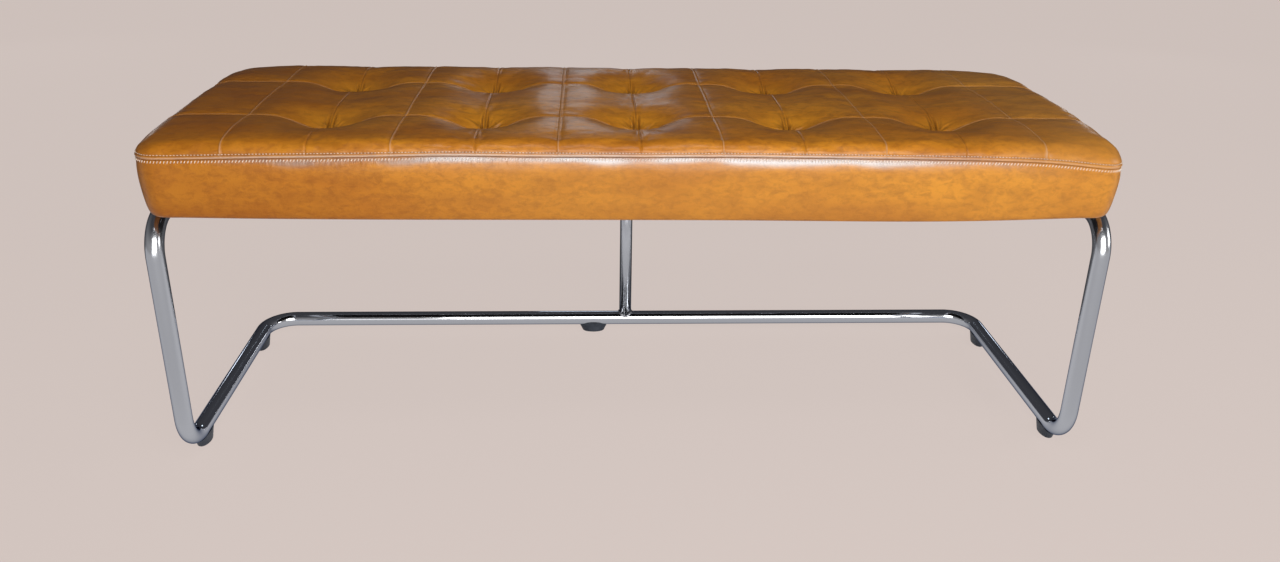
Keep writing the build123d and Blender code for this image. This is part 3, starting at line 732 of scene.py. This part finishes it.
# heights, places and widths in metres; the perimeter seam counts its places upwards from itself
relief = {
    "rimRidge": [(0.0008, 0, 0.0012)], "rimEnd": 0.63, "rimEndShare": 0.6,
    "rimGrooves": [(-0.0005, 0.0036, 0.0012), (-0.0007, -0.0027, 0.0011)],
    "crest": [(0.0004, 0, 0.0009), (-0.0004, 0.0030, 0.0016)],
    "row": [(0.0006, 0, 0.0009), (-0.0005, 0.0030, 0.0016)],
    "column": [(-0.0008, 0, 0.0011)],
    "seamStart": 0.004, "panelStart": 0.01, "crestsEnd": 0.3,
    # the two upright folds at each tuft, and how far they run behind it and before it
    "pair": [(-0.0024, 0.0038, 0.0013), (0.0013, 0.0072, 0.0021)],
    "pairBehind": 0.034, "pairSpare": 1.3, "pairBefore": 0.030, "pairBeforeShare": 0.7,
    # slack: height, stretch across, feature size, seed
    "slack": [(0.0006, 1.8, 0.034, 11), (0.00022, 1.4, 0.011, 12)], "bandSlack": (0.0005, 1.2, 0.045, 13),
    "bandFrom": 0.012, "bandTo": 0.085, "bandFade": 0.02, "longSides": 0.235,
    # how far the perimeter seam strays from level along the front: height, place, width
    "seamWave": [(0.0022, -0.25, 0.10), (0.0023, 0.05, 0.20), (-0.0008, 0.02, 0.07), (-0.0040, -0.66, 0.17),
                 (-0.0050, 0.66, 0.20), (-0.0090, 0.66, 0.085)],
    "waveFrom": -0.05, "waveFade": 0.15, "waveReach": 0.028,
}
fan = {
    "reach": 0.042, "forward": 9, "forwardAngle": 1.15, "stray": 0.10,
    "backward": 3, "backwardAngles": (2.2, 4.1),
    "length": (0.020, 0.040), "width": (0.0014, 0.0024), "strength": (0.5, 1.3), "height": 0.0015, "bend": 9,
    "bendFrom": 0.01, "start": 0.004, "startFade": 0.006, "endFade": 0.5, "darkHeight": 0.0016, "seed": 40,
    # the ditch beside a fold and its line of painted shade: place and width in widths of the fold
    "ditchDepth": 0.6, "ditch": (2, 1.2), "dark": (1.9, 0.9),
}
wear = {
    # pale creases, seam wear with painted highlight on the tufts' lips and along the middle of the front
    # seam: share and width on the crest and the lengthwise seams, width on the perimeter seam
    "crest": (0.42, 0.0007), "row": (0.8, 0.0008), "rim": 0.0011,
    "lipStart": 0.012, "lipLeast": 0.25, "lipHighlight": (0.75, 0.035, 0.022),
    "ridgeHighlightLeast": 0.4, "ridgeHighlightAt": -0.18, "ridgeHighlightReach": 0.48,
    # painted shade in folds: column seams, tufts, fans and the grooves of the perimeter seam
    "columnLeast": 0.25, "columnNear": [(0.5, 0, 0.045)], "columnWidth": 0.0008,
    "tuft": [(0.9, 0, 0.0045)], "fan": 0.65, "upperGroove": [(0.65, 0.0036, 0.0010)],
    "lowerGroove": [(0.65, -0.0024, 0.0009)],
    # polish, with a grey colour there as painted highlight, below the seam along the front: place, reach,
    # seam gap, its waves, width
    "polishFront": -0.20, "polishAt": -0.02, "polishReach": 0.50, "polishGap": 0.0015,
    "polishWave": (0.0050, 0.0020),
    "polishNoise": 0.045, "polishWidth": 0.0042, "polishSwing": 0.5, "polishPower": 2.5,
    "polishPatches": (0.9, 0.5), "polishRidge": [(0.8, 0, 0.0012)], "spread": 1.25,
    "pucker": [(1, -0.0075, 0.0050)], "hem": [(1, -0.088, 0.024)], "sideStart": 0.004, "sideFade": 0.01,
    # painted light: a brighter orange on each tuft's far wall, which faces the lamps
    "tuftWallLightX": 0.032, "tuftWallLightY": [(1, 0.012, 0.020)],
}


def seamWave(x, y):
    return softLines(x, relief["seamWave"]) * eased((relief["waveFrom"] - y) / relief["waveFade"])


def tuftFolds(tuftX, tuftY, number, look):
    # folds that fan out from one tuft: raised lines, each with painted shade in the hollow beside it
    reach = np.hypot(tuftX, tuftY)
    turn = np.arctan2(tuftX, tuftY)
    dice = np.random.default_rng(look["seed"] + number)
    height, hollowShade = np.zeros(len(tuftX)), np.zeros(len(tuftX))
    ahead = np.linspace(-look["forwardAngle"], look["forwardAngle"], look["forward"])
    angles = list(ahead + dice.uniform(-look["stray"], look["stray"], look["forward"]))
    angles += list(dice.uniform(*look["backwardAngles"], look["backward"]))
    for angle in angles:
        length = dice.uniform(*look["length"])
        width = dice.uniform(*look["width"])
        strength = dice.uniform(*look["strength"]) * look["height"]
        bent = dice.uniform(-look["bend"], look["bend"])
        off = (turn - angle - bent * (reach - look["bendFrom"]) + np.pi) % (2 * np.pi) - np.pi
        aside = reach * off
        run = clipped((reach - look["start"]) / look["startFade"]) * clipped(
            (length - reach) / (look["endFade"] * length))
        ditch, dark = (bell(aside - at * width, wide * width) for at, wide in (look["ditch"], look["dark"]))
        height += strength * run * (bell(aside, width) - look["ditchDepth"] * ditch)
        dark = run * dark * strength / look["darkHeight"]
        hollowShade = np.maximum(hollowShade, dark)
    return height, hollowShade


def allFans(p, s, look):
    height, hollowShade = np.zeros(len(p["x"])), np.zeros(len(p["x"]))
    for number in range(2 * s["columns"]):
        middle = (number % s["columns"] - s["columns"] // 2) * 2 * s["pitch"]
        row = -s["row"] if number < s["columns"] else s["row"]
        near = np.nonzero(p["top"] & (np.hypot(p["x"] - middle, p["y"] - row) < look["reach"]))[0]
        height[near], hollowShade[near] = tuftFolds(p["x"][near] - middle, p["y"][near] - row, number, look)
    return height, hollowShade


def seatLines(p, s, look):
    # how much of each seam there is at each point, from 0 to 1
    onTop = np.where(p["top"], 1.0, 0.0)
    fromRim = clipped(p["gap"] / look["seamStart"])
    inPanel = clipped(p["gap"] / look["panelStart"])
    onGrid = np.abs(p["x"]) < s["pitch"] * (s["columns"] + look["crestsEnd"])
    behind = np.where(p["tuftY"] > 0, clipped(look["pairSpare"] - p["tuftY"] / look["pairBehind"]),
                      clipped(1 + p["tuftY"] / look["pairBefore"]) * look["pairBeforeShare"])
    columns = onTop * (np.abs(p["x"]) < s["columns"] * s["pitch"]) * inPanel
    return {"crest": onTop * onGrid * fromRim, "row": onTop * fromRim, "column": columns,
            "pair": columns * behind, "panel": inPanel * onTop}


def seatRelief(p, lines, raised, look):
    # height added along the surface's normal
    x, y, gap = p["x"], p["y"], p["gap"]
    height = softLines(gap, look["rimRidge"]) * np.where(np.abs(x) > look["rimEnd"], look["rimEndShare"], 1.0)
    height += softLines(gap, look["rimGrooves"]) + raised
    for name, distance in (("crest", p["toCrest"]), ("row", p["toRow"]), ("column", p["toColumn"]),
                           ("pair", np.abs(p["tuftX"]))):
        height += lines[name] * softLines(distance, look[name])
    for tall, across, size, seed in look["slack"]:
        height += lines["panel"] * tall * softNoise(x, y * across, size, seed)
    tall, across, size, seed = look["bandSlack"]
    side = clipped(-gap / look["bandFrom"]) * clipped((look["bandTo"] + gap) / look["bandFade"])
    along = np.where(np.abs(y) > look["longSides"], x, y)
    return height + side * tall * softNoise(along, gap * across, size, seed)


def seatWear(p, lines, hollowShade, look):
    # what the leather's finish reads at each point, with painted light and shade among it
    x, y, gap = p["x"], p["y"], p["gap"]
    # painted highlight: the lengthwise seams are paler at each tuft's lip, and the perimeter seam is paler
    # along the middle of the front
    share, place, width = look["lipHighlight"]
    lipHighlight = clipped((p["toTuft"] - look["lipStart"]) / look["lipStart"]) * (
        look["lipLeast"] + share * bell(p["toTuft"] - place, width))
    least = look["ridgeHighlightLeast"]
    ridgeHighlight = clipped(look["spread"] - ((x - look["ridgeHighlightAt"]) / look["ridgeHighlightReach"]) ** 2) * (y < 0)
    creases = [look["crest"][0] * lines["crest"] * bell(p["toCrest"], look["crest"][1]),
               look["row"][0] * lines["row"] * bell(p["toRow"], look["row"][1]) * lipHighlight,
               (least + (1 - least) * ridgeHighlight) * bell(gap, look["rim"])]
    # painted shade in the seams, the upright folds, the tufts, the fans and the seam grooves
    _, pairPlace, pairWidth = relief["pair"][0]
    nearTuft = look["columnLeast"] + softLines(p["toTuft"], look["columnNear"])
    shadedFolds = [lines["column"] * nearTuft * bell(p["toColumn"], look["columnWidth"]),
             lines["pair"] * bell(np.abs(p["tuftX"]) - pairPlace, pairWidth),
             p["top"] * softLines(p["toTuft"], look["tuft"]), look["fan"] * hollowShade,
             softLines(gap, look["upperGroove"]), softLines(gap, look["lowerGroove"])]
    # a glossier strip below the front seam whose colour is greyed as painted highlight
    front = (y < look["polishFront"]) * clipped(
        look["spread"] - (np.abs(x - look["polishAt"]) / look["polishReach"]) ** look["polishPower"])
    level, swing = look["polishWave"]
    wavy = level + swing * softNoise(x, 0 * y, look["polishNoise"], 21)
    patches = clipped(look["polishPatches"][0] + look["polishPatches"][1] * softNoise(
        x, 0 * y, look["polishNoise"], 22))
    width = look["polishWidth"] + look["polishSwing"] * (wavy - level)
    strip = bell(gap + look["polishGap"] + wavy, width)
    return {
        "paleSeamAndHighlight": np.maximum.reduce(creases), "foldShade": np.maximum.reduce(shadedFolds),
        "glossAndHighlight": front * patches * np.maximum(strip, softLines(gap, look["polishRidge"])),
        "pucker": softLines(gap, look["pucker"]),
        "side": clipped((-gap - look["sideStart"]) / look["sideFade"]) * (y < 0.0),
        # painted light on each tuft's far wall
        "tuftWallLight": p["top"] * bell(p["tuftX"], look["tuftWallLightX"]) * softLines(p["tuftY"], look["tuftWallLightY"]),
        "hem": softLines(gap, look["hem"]),
    }


def closeUnderside(mesh):
    # one flat face over the open ring under the seat
    work = bmesh.new()
    work.from_mesh(mesh)
    bmesh.ops.edgeloop_fill(work, edges=[edge for edge in work.edges if edge.is_boundary])
    for face in work.faces:
        if len(face.verts) > 4 and face.normal.z > 0:
            face.normal_flip()
    work.to_mesh(mesh)
    work.free()
    mesh.update()


def makeSeat(s):
    points, faces, plan, size = seatBody(s)
    print("seat mesh:", len(points), "points, grid", size)
    points = swell(points, faces, plan, s, swelling)
    rough = newPiece("seatRough", points, faces, leather)
    layer = rough.data.attributes.new("plan", "FLOAT_VECTOR", "POINT")
    layer.data.foreach_set("vector", plan.astype(np.float32).ravel())
    finer = rough.modifiers.new("finer", "SUBSURF")
    finer.levels = finer.render_levels = 1
    finer.boundary_smooth = "ALL"
    piece = plainMesh(rough, "leather_seat", leather)
    mesh = piece.data
    place, normal, plan = (np.zeros(len(mesh.vertices) * 3, np.float32) for _ in range(3))
    mesh.vertices.foreach_get("co", place)
    mesh.vertex_normals.foreach_get("vector", normal)
    mesh.attributes["plan"].data.foreach_get("vector", plan)
    p = seatPlaces(plan.reshape(-1, 3).astype(float), s)
    lines = seatLines(p, s, relief)
    raised, hollowShade = allFans(p, s, fan)
    height = seatRelief(p, lines, raised, relief)
    moved = place.reshape(-1, 3) + normal.reshape(-1, 3) * height[:, None]
    moved[:, 2] += seamWave(p["x"], p["y"]) * bell(p["gap"], relief["waveReach"])
    mesh.vertices.foreach_set("co", moved.astype(np.float32).ravel())
    for name, values in seatWear(p, lines, hollowShade, wear).items():
        layer = mesh.attributes.new(name, "FLOAT", "POINT")
        layer.data.foreach_set("value", clipped(values).astype(np.float32))
    mesh.attributes.remove(mesh.attributes["plan"])
    closeUnderside(mesh)
    mesh.shade_smooth()
    return piece


leatherSeat = makeSeat(seat)
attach(leatherSeat, "root")
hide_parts("cover_top", "cover_band_front", "cover_band_back", "foam_core")
print("leather seat:", len(leatherSeat.data.polygons), "faces")

# stitches, laid on the finished leather

seatMesh = leatherSeat.data
seatTree = BVHTree.FromPolygons([v.co for v in seatMesh.vertices],
                                [tuple(p.vertices) for p in seatMesh.polygons])

stitches = {
    "pitch": 0.0043,
    # perimeter rows: how far above the seam, length, width and slant of one stitch
    "upper": (0.0040, 0.0028, 0.0012, 0.0), "lower": (-0.0050, 0.0044, 0.0015, 1.08), "lift": 0.15,
    "seamPitch": 0.0044, "seamLength": 0.0034, "seamWidth": 0.0006, "seamLift": 0.05,
    "seamReach": (0.648, 0.232), "seamStep": 0.002, "above": 0.6,
}


def stitchTree():
    tree, given, path = newTree("stitchRow", [
        ("Pitch", "Float"), ("Length", "Float"), ("Width", "Float"), ("Slant", "Float"),
        ("Thread", "Material")])
    outward = addNode(tree, "GeometryNodeInputNamedAttribute", {"Name": "outward"}, data_type="FLOAT_VECTOR")
    spots, facing = addRow(tree, path, given["Pitch"], outward.outputs["Attribute"])
    bead = addNode(tree, "GeometryNodeMeshUVSphere", {"Segments": 6, "Rings": 4, "Radius": 0.5})
    lean = addNode(tree, "FunctionNodeAxisAngleToRotation", {"Axis": (0, 0, 1), "Angle": given["Slant"]})
    turned = addNode(tree, "FunctionNodeRotateRotation", {
        "Rotation": facing, "Rotate By": lean.outputs["Rotation"]}, rotation_space="LOCAL")
    size = addNode(tree, "ShaderNodeCombineXYZ", {
        "X": given["Length"], "Y": given["Width"], "Z": given["Width"]})
    placed = addNode(tree, "GeometryNodeInstanceOnPoints", {
        "Points": spots, "Instance": bead.outputs["Mesh"],
        "Rotation": turned.outputs["Rotation"], "Scale": size.outputs["Vector"]})
    endTree(tree, placed.outputs["Instances"], given["Thread"])
    return tree


stitchRow = stitchTree()


def rimPoints(s, outset, height, step=0.002, arcParts=12):
    # plan outline of the seat, moved outwards, at one height
    r = s["corner"] + outset
    a, b = s["halfLength"] - s["corner"], s["halfDepth"] - s["corner"]
    points = []
    for cx, cy, first in ((a, -b, -90), (a, b, 0), (-a, b, 90), (-a, -b, 180)):
        for k in range(arcParts + 1):
            t = math.radians(first + 90 * k / arcParts)
            points.append((cx + r * math.cos(t), cy + r * math.sin(t), height))
    filled = []
    for p, q in zip(points, points[1:] + points[:1]):
        parts = max(1, round(math.dist(p, q) / step))
        filled += [tuple(p[k] + (q[k] - p[k]) * n / parts for k in range(3)) for n in range(parts)]
    return filled


def makeStitches(s, look, row):
    above, length, width, slant = look[row]
    placed, outward = [], []
    for x, y, z in rimPoints(s, 0.0, s["seam"] + above):
        spot, normal, _, _ = seatTree.find_nearest(Vector((x, y, z + float(seamWave(x, y)))))
        placed.append(spot + normal * width * look["lift"])
        outward.append(normal)
    name = "rim_stitches_" + row
    return runTree(pathObject(name + "_path", placed, True, outward), stitchRow, {
        "Pitch": look["pitch"], "Length": length, "Width": width, "Slant": slant, "Thread": thread}, name)


def makeSeamStitches(s, look):
    endX, endY = look["seamReach"]
    acrossY, alongX = (np.linspace(-end, end, round(2 * end / look["seamStep"]) + 1) for end in (endY, endX))
    lines = [[(k * s["pitch"], y) for y in acrossY] for k in range(-s["columns"], s["columns"] + 1, 2)]
    lines += [[(x, y) for x in alongX] for y in (-s["row"], s["row"])]
    placed, outward, breaks = [], [], set()
    for line in lines:
        for x, y in line:
            start = Vector((float(x), float(y), look["above"]))
            spot, normal, _, _ = seatTree.ray_cast(start, Vector((0, 0, -1)))
            placed.append(spot + normal * look["seamWidth"] * look["seamLift"])
            outward.append(normal)
        breaks.add(len(placed) - 1)
    return runTree(pathObject("seam_path", placed, False, outward, breaks), stitchRow, {
        "Pitch": look["seamPitch"], "Length": look["seamLength"], "Width": look["seamWidth"],
        "Slant": 0.0, "Thread": seamThread}, "seam_stitches")


rimRows = [makeStitches(seat, stitches, row) for row in ("upper", "lower")]
for row in rimRows + [makeSeamStitches(seat, stitches)]:
    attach(row, "root")
    print(row.name, len(row.data.polygons), "faces")

# chromed frame: one closed bent tube, and the post saddled between its rear runs

tube = {"radius": 0.0125, "bend": 0.050, "legX": 0.650, "legY": -0.215, "rearY": 0.2275,
        "floorZ": 0.025, "seatZ": 0.3725, "bendParts": 28, "around": 48}
post = {"radius": 0.011, "around": 64, "beadRadius": 0.0021, "beadAround": 10, "beadParts": 132,
        "beadLift": 0.0006, "ripples": 22, "rippleShare": 0.10}
# welded tabs: where their middles and screws lie, and the lower face that the bead follows
tabs = {"underside": 0.3814, "width": 0.030, "sides": (-0.140, 0.00625, 0.1525), "rears": (-0.3225, 0.3225),
        "sideHole": 0.630, "rearHole": 0.2075, "bead": 0.0017, "beadAround": 10, "beadParts": 40,
        "rippleScale": 420.0, "ripple": 0.0012}


def makeLoop(t):
    x, front, rear, low, high = t["legX"], t["legY"], t["rearY"], t["floorZ"], t["seatZ"]
    corners = [(-x, rear, low), (-x, front, low), (-x, front, high), (-x, rear, high),
               (x, rear, high), (x, front, high), (x, front, low), (x, rear, low)]
    tree, given, path = newTree("bentLoop", [
        ("Tube radius", "Float"), ("Bend radius", "Float"), ("Bend parts", "Int"), ("Around", "Int"),
        ("Metal", "Material")])
    bent = addNode(tree, "GeometryNodeFilletCurve", {
        "Curve": path, "Radius": given["Bend radius"], "Count": given["Bend parts"],
        "Limit Radius": True}, mode="POLY")
    swept = addSweep(tree, bent.outputs["Curve"], given["Around"], given["Tube radius"])
    endTree(tree, swept, given["Metal"])
    return runTree(pathObject("loopPath", corners, True), tree, {
        "Tube radius": t["radius"], "Bend radius": t["bend"], "Bend parts": t["bendParts"],
        "Around": t["around"], "Metal": chrome}, "frame_loop")


def saddle(t, p, angle, upper):
    # point where the post meets a rear run, at an angle round the post
    sideways = p["radius"] * math.sin(angle)
    rise = math.sqrt(t["radius"] ** 2 - sideways ** 2)
    height = t["seatZ"] - rise if upper else t["floorZ"] + rise
    return p["radius"] * math.cos(angle), t["rearY"] + sideways, height


def makePost(t, p):
    count = p["around"]
    angles = [2 * math.pi * k / count for k in range(count)]
    points = [saddle(t, p, a, False) for a in angles] + [saddle(t, p, a, True) for a in angles]
    faces = [(k, (k + 1) % count, count + (k + 1) % count, count + k) for k in range(count)]
    faces += [tuple(reversed(range(count))), tuple(range(count, 2 * count))]
    piece = newPiece("centre_post_tube", points, faces, chrome)
    for face in piece.data.polygons[-2:]:
        face.use_smooth = False
    return piece


def makeBead(t, p, upper):
    count, around = p["beadParts"], p["beadAround"]
    lift = Vector((0, 0, -p["beadLift"] if upper else p["beadLift"]))
    middles = [Vector(saddle(t, p, 2 * math.pi * k / count, upper)) + lift for k in range(count)]
    points, faces = [], []
    for k, middle in enumerate(middles):
        ahead = (middles[(k + 1) % count] - middles[k - 1]).normalized()
        out = Vector((middle.x, middle.y - t["rearY"], 0)).normalized()
        out = (out - ahead * out.dot(ahead)).normalized()
        up = ahead.cross(out)
        radius = p["beadRadius"] * (1 + p["rippleShare"] * math.sin(2 * math.pi * k * p["ripples"] / count))
        for n in range(around):
            a = 2 * math.pi * n / around
            points.append(middle + radius * (math.cos(a) * out + math.sin(a) * up))
        here, there = k * around, (k + 1) % count * around
        faces += [(here + n, here + (n + 1) % around, there + (n + 1) % around, there + n)
                  for n in range(around)]
    return newPiece("post_weld_upper" if upper else "post_weld_lower", points, faces, weldMetal)


def makeTabWelds(t, look):
    # a bead along each tab, where it meets the tube
    low, half = look["underside"], look["width"] / 2
    aside = math.sqrt(t["radius"] ** 2 - (low - t["seatZ"]) ** 2)
    points = []
    for y in look["sides"]:
        for x in (aside - t["legX"], t["legX"] - aside):
            points += [(x, y - half, low), (x, y + half, low)]
    for x in look["rears"]:
        points += [(x - half, t["rearY"] - aside, low), (x + half, t["rearY"] - aside, low)]
    tree, given, path = newTree("weldRow", [("Bead radius", "Float"), ("Metal", "Material")])
    fine = addNode(tree, "GeometryNodeResampleCurve", {
        "Curve": path, "Count": look["beadParts"]}, mode="COUNT")
    swept = addSweep(tree, fine.outputs["Curve"], look["beadAround"], given["Bead radius"], True)
    place = addNode(tree, "GeometryNodeInputPosition").outputs["Position"]
    uneven = addMath(tree, "SUBTRACT", addNoise(tree, place, look["rippleScale"], 1.0), 0.5)
    push = addNode(tree, "ShaderNodeVectorMath", {
        0: addNode(tree, "GeometryNodeInputNormal").outputs["Normal"],
        3: addMath(tree, "MULTIPLY", uneven, look["ripple"])}, operation="SCALE")
    rippled = addNode(tree, "GeometryNodeSetPosition", {"Geometry": swept, "Offset": push.outputs["Vector"]})
    endTree(tree, rippled.outputs["Geometry"], given["Metal"])
    return runTree(pathObject("tabWeldPath", points, False, None, set(range(1, len(points), 2))), tree, {
        "Bead radius": look["bead"], "Metal": weldMetal}, "tab_welds")


frameLoop = makeLoop(tube)
postTube = makePost(tube, post)
postBeads = [makeBead(tube, post, upper) for upper in (False, True)]
tabWelds = makeTabWelds(tube, tabs)
for piece in (frameLoop, postTube, *postBeads, tabWelds):
    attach(piece, "root")
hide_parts("left_frame_tube", "right_frame_tube")
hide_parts("centre_post")
print("frame:", len(frameLoop.data.polygons), "faces, tab welds", len(tabWelds.data.polygons))

# dust cover: black cloth pulled tight under the rails, and its staples

underCover = {"halfLength": 0.634, "halfDepth": 0.219, "corner": 0.028, "height": 0.3847, "sag": 0.0016,
              "step": 0.008, "screwHole": 0.0042, "holeCut": 0.0062, "holeReach": 0.0085,
              "openHalfLength": 0.6032, "openHalfDepth": 0.1882, "looseWithin": 0.07,
              "crossRails": (-0.3225, -0.1075, 0.1075, 0.3225), "crossRailHalf": 0.015,
              "ripple": 0.25, "rippleSize": 0.035, "rippleAcross": 0.6, "seed": 31}
staple = {"pitch": 0.038, "inset": 0.009, "length": 0.0110, "width": 0.0013, "thick": 0.0007, "sunk": 0.35}


def makeUnderCover(c, screws):
    xs, ys = (np.linspace(-half, half, 2 * round(half / c["step"]) + 1)
              for half in (c["halfLength"], c["halfDepth"]))
    x, y = np.meshgrid(xs, ys, indexing="ij")
    # round the corners by pulling the grid's corner cells onto the arc
    straightX, straightY = c["halfLength"] - c["corner"], c["halfDepth"] - c["corner"]
    overX, overY = np.abs(x) - straightX, np.abs(y) - straightY
    inCorner = (overX > 0) & (overY > 0)
    far = np.maximum(np.hypot(overX, overY), 1e-9)
    pull = np.where(inCorner, np.maximum(overX, overY) / far, 1.0)
    x = np.where(inCorner, np.sign(x) * (straightX + overX * pull), x)
    y = np.where(inCorner, np.sign(y) * (straightY + overY * pull), y)
    toRail = np.minimum(c["openHalfLength"] - np.abs(x), c["openHalfDepth"] - np.abs(y))
    for middle in c["crossRails"]:
        toRail = np.minimum(toRail, np.abs(x - middle) - c["crossRailHalf"])
    loose = eased(toRail / c["looseWithin"])
    ripple = softNoise(x.ravel(), y.ravel() * c["rippleAcross"], c["rippleSize"], c["seed"]).reshape(x.shape)
    z = c["height"] - c["sag"] * loose * (1 + c["ripple"] * ripple)
    points = np.stack([x, y, z], 2).reshape(-1, 3)
    index = np.arange(x.size).reshape(x.shape)
    faces = []
    for i in range(x.shape[0] - 1):
        for j in range(x.shape[1] - 1):
            face = (int(index[i, j]), int(index[i, j + 1]), int(index[i + 1, j + 1]), int(index[i + 1, j]))
            middle = points[list(face)].mean(0)
            if min(math.dist(middle[:2], spot) for spot in screws) > c["holeCut"]:
                faces.append(face)
    # the cut edges round each screw become a neat circle
    kept = set(k for face in faces for k in face)
    for spot in screws:
        away = points[:, :2] - np.array(spot)
        distance = np.hypot(*away.T)
        for k in np.nonzero(distance < c["holeReach"])[0]:
            if int(k) in kept:
                points[k, :2] = np.array(spot) + away[k] / distance[k] * c["screwHole"]
    used = sorted(kept)
    number = {k: n for n, k in enumerate(used)}
    faces = [tuple(number[k] for k in face) for face in faces]
    return newPiece("dust_cover_cloth", points[used], faces, cambric)


def makeStaples(c, look):
    line = rimPoints(c, -look["inset"], c["height"] - look["thick"] * look["sunk"])
    tree, given, path = newTree("stapleRow", [("Pitch", "Float"), ("Size", "Vector"), ("Metal", "Material")])
    spots, facing = addRow(tree, path, given["Pitch"], (0, 0, 1))
    crown = addNode(tree, "GeometryNodeMeshCube", {"Size": given["Size"]})
    placed = addNode(tree, "GeometryNodeInstanceOnPoints", {
        "Points": spots, "Instance": crown.outputs["Mesh"], "Rotation": facing})
    endTree(tree, placed.outputs["Instances"], given["Metal"], smooth=False)
    return runTree(pathObject("staplePath", line, True), tree, {
        "Pitch": look["pitch"], "Size": (look["length"], look["width"], look["thick"]),
        "Metal": zincSteel}, "dust_cover_staples")


screwPlaces = [(x, y) for y in tabs["sides"] for x in (-tabs["sideHole"], tabs["sideHole"])]
screwPlaces += [(x, tabs["rearHole"]) for x in tabs["rears"]]
underCloth = makeUnderCover(underCover, screwPlaces)
staples = makeStaples(underCover, staple)
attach(underCloth, "root")
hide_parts("dust_cover")
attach(staples, "root")
print("dust cover:", len(underCloth.data.polygons), "faces, staples", len(staples.data.polygons))
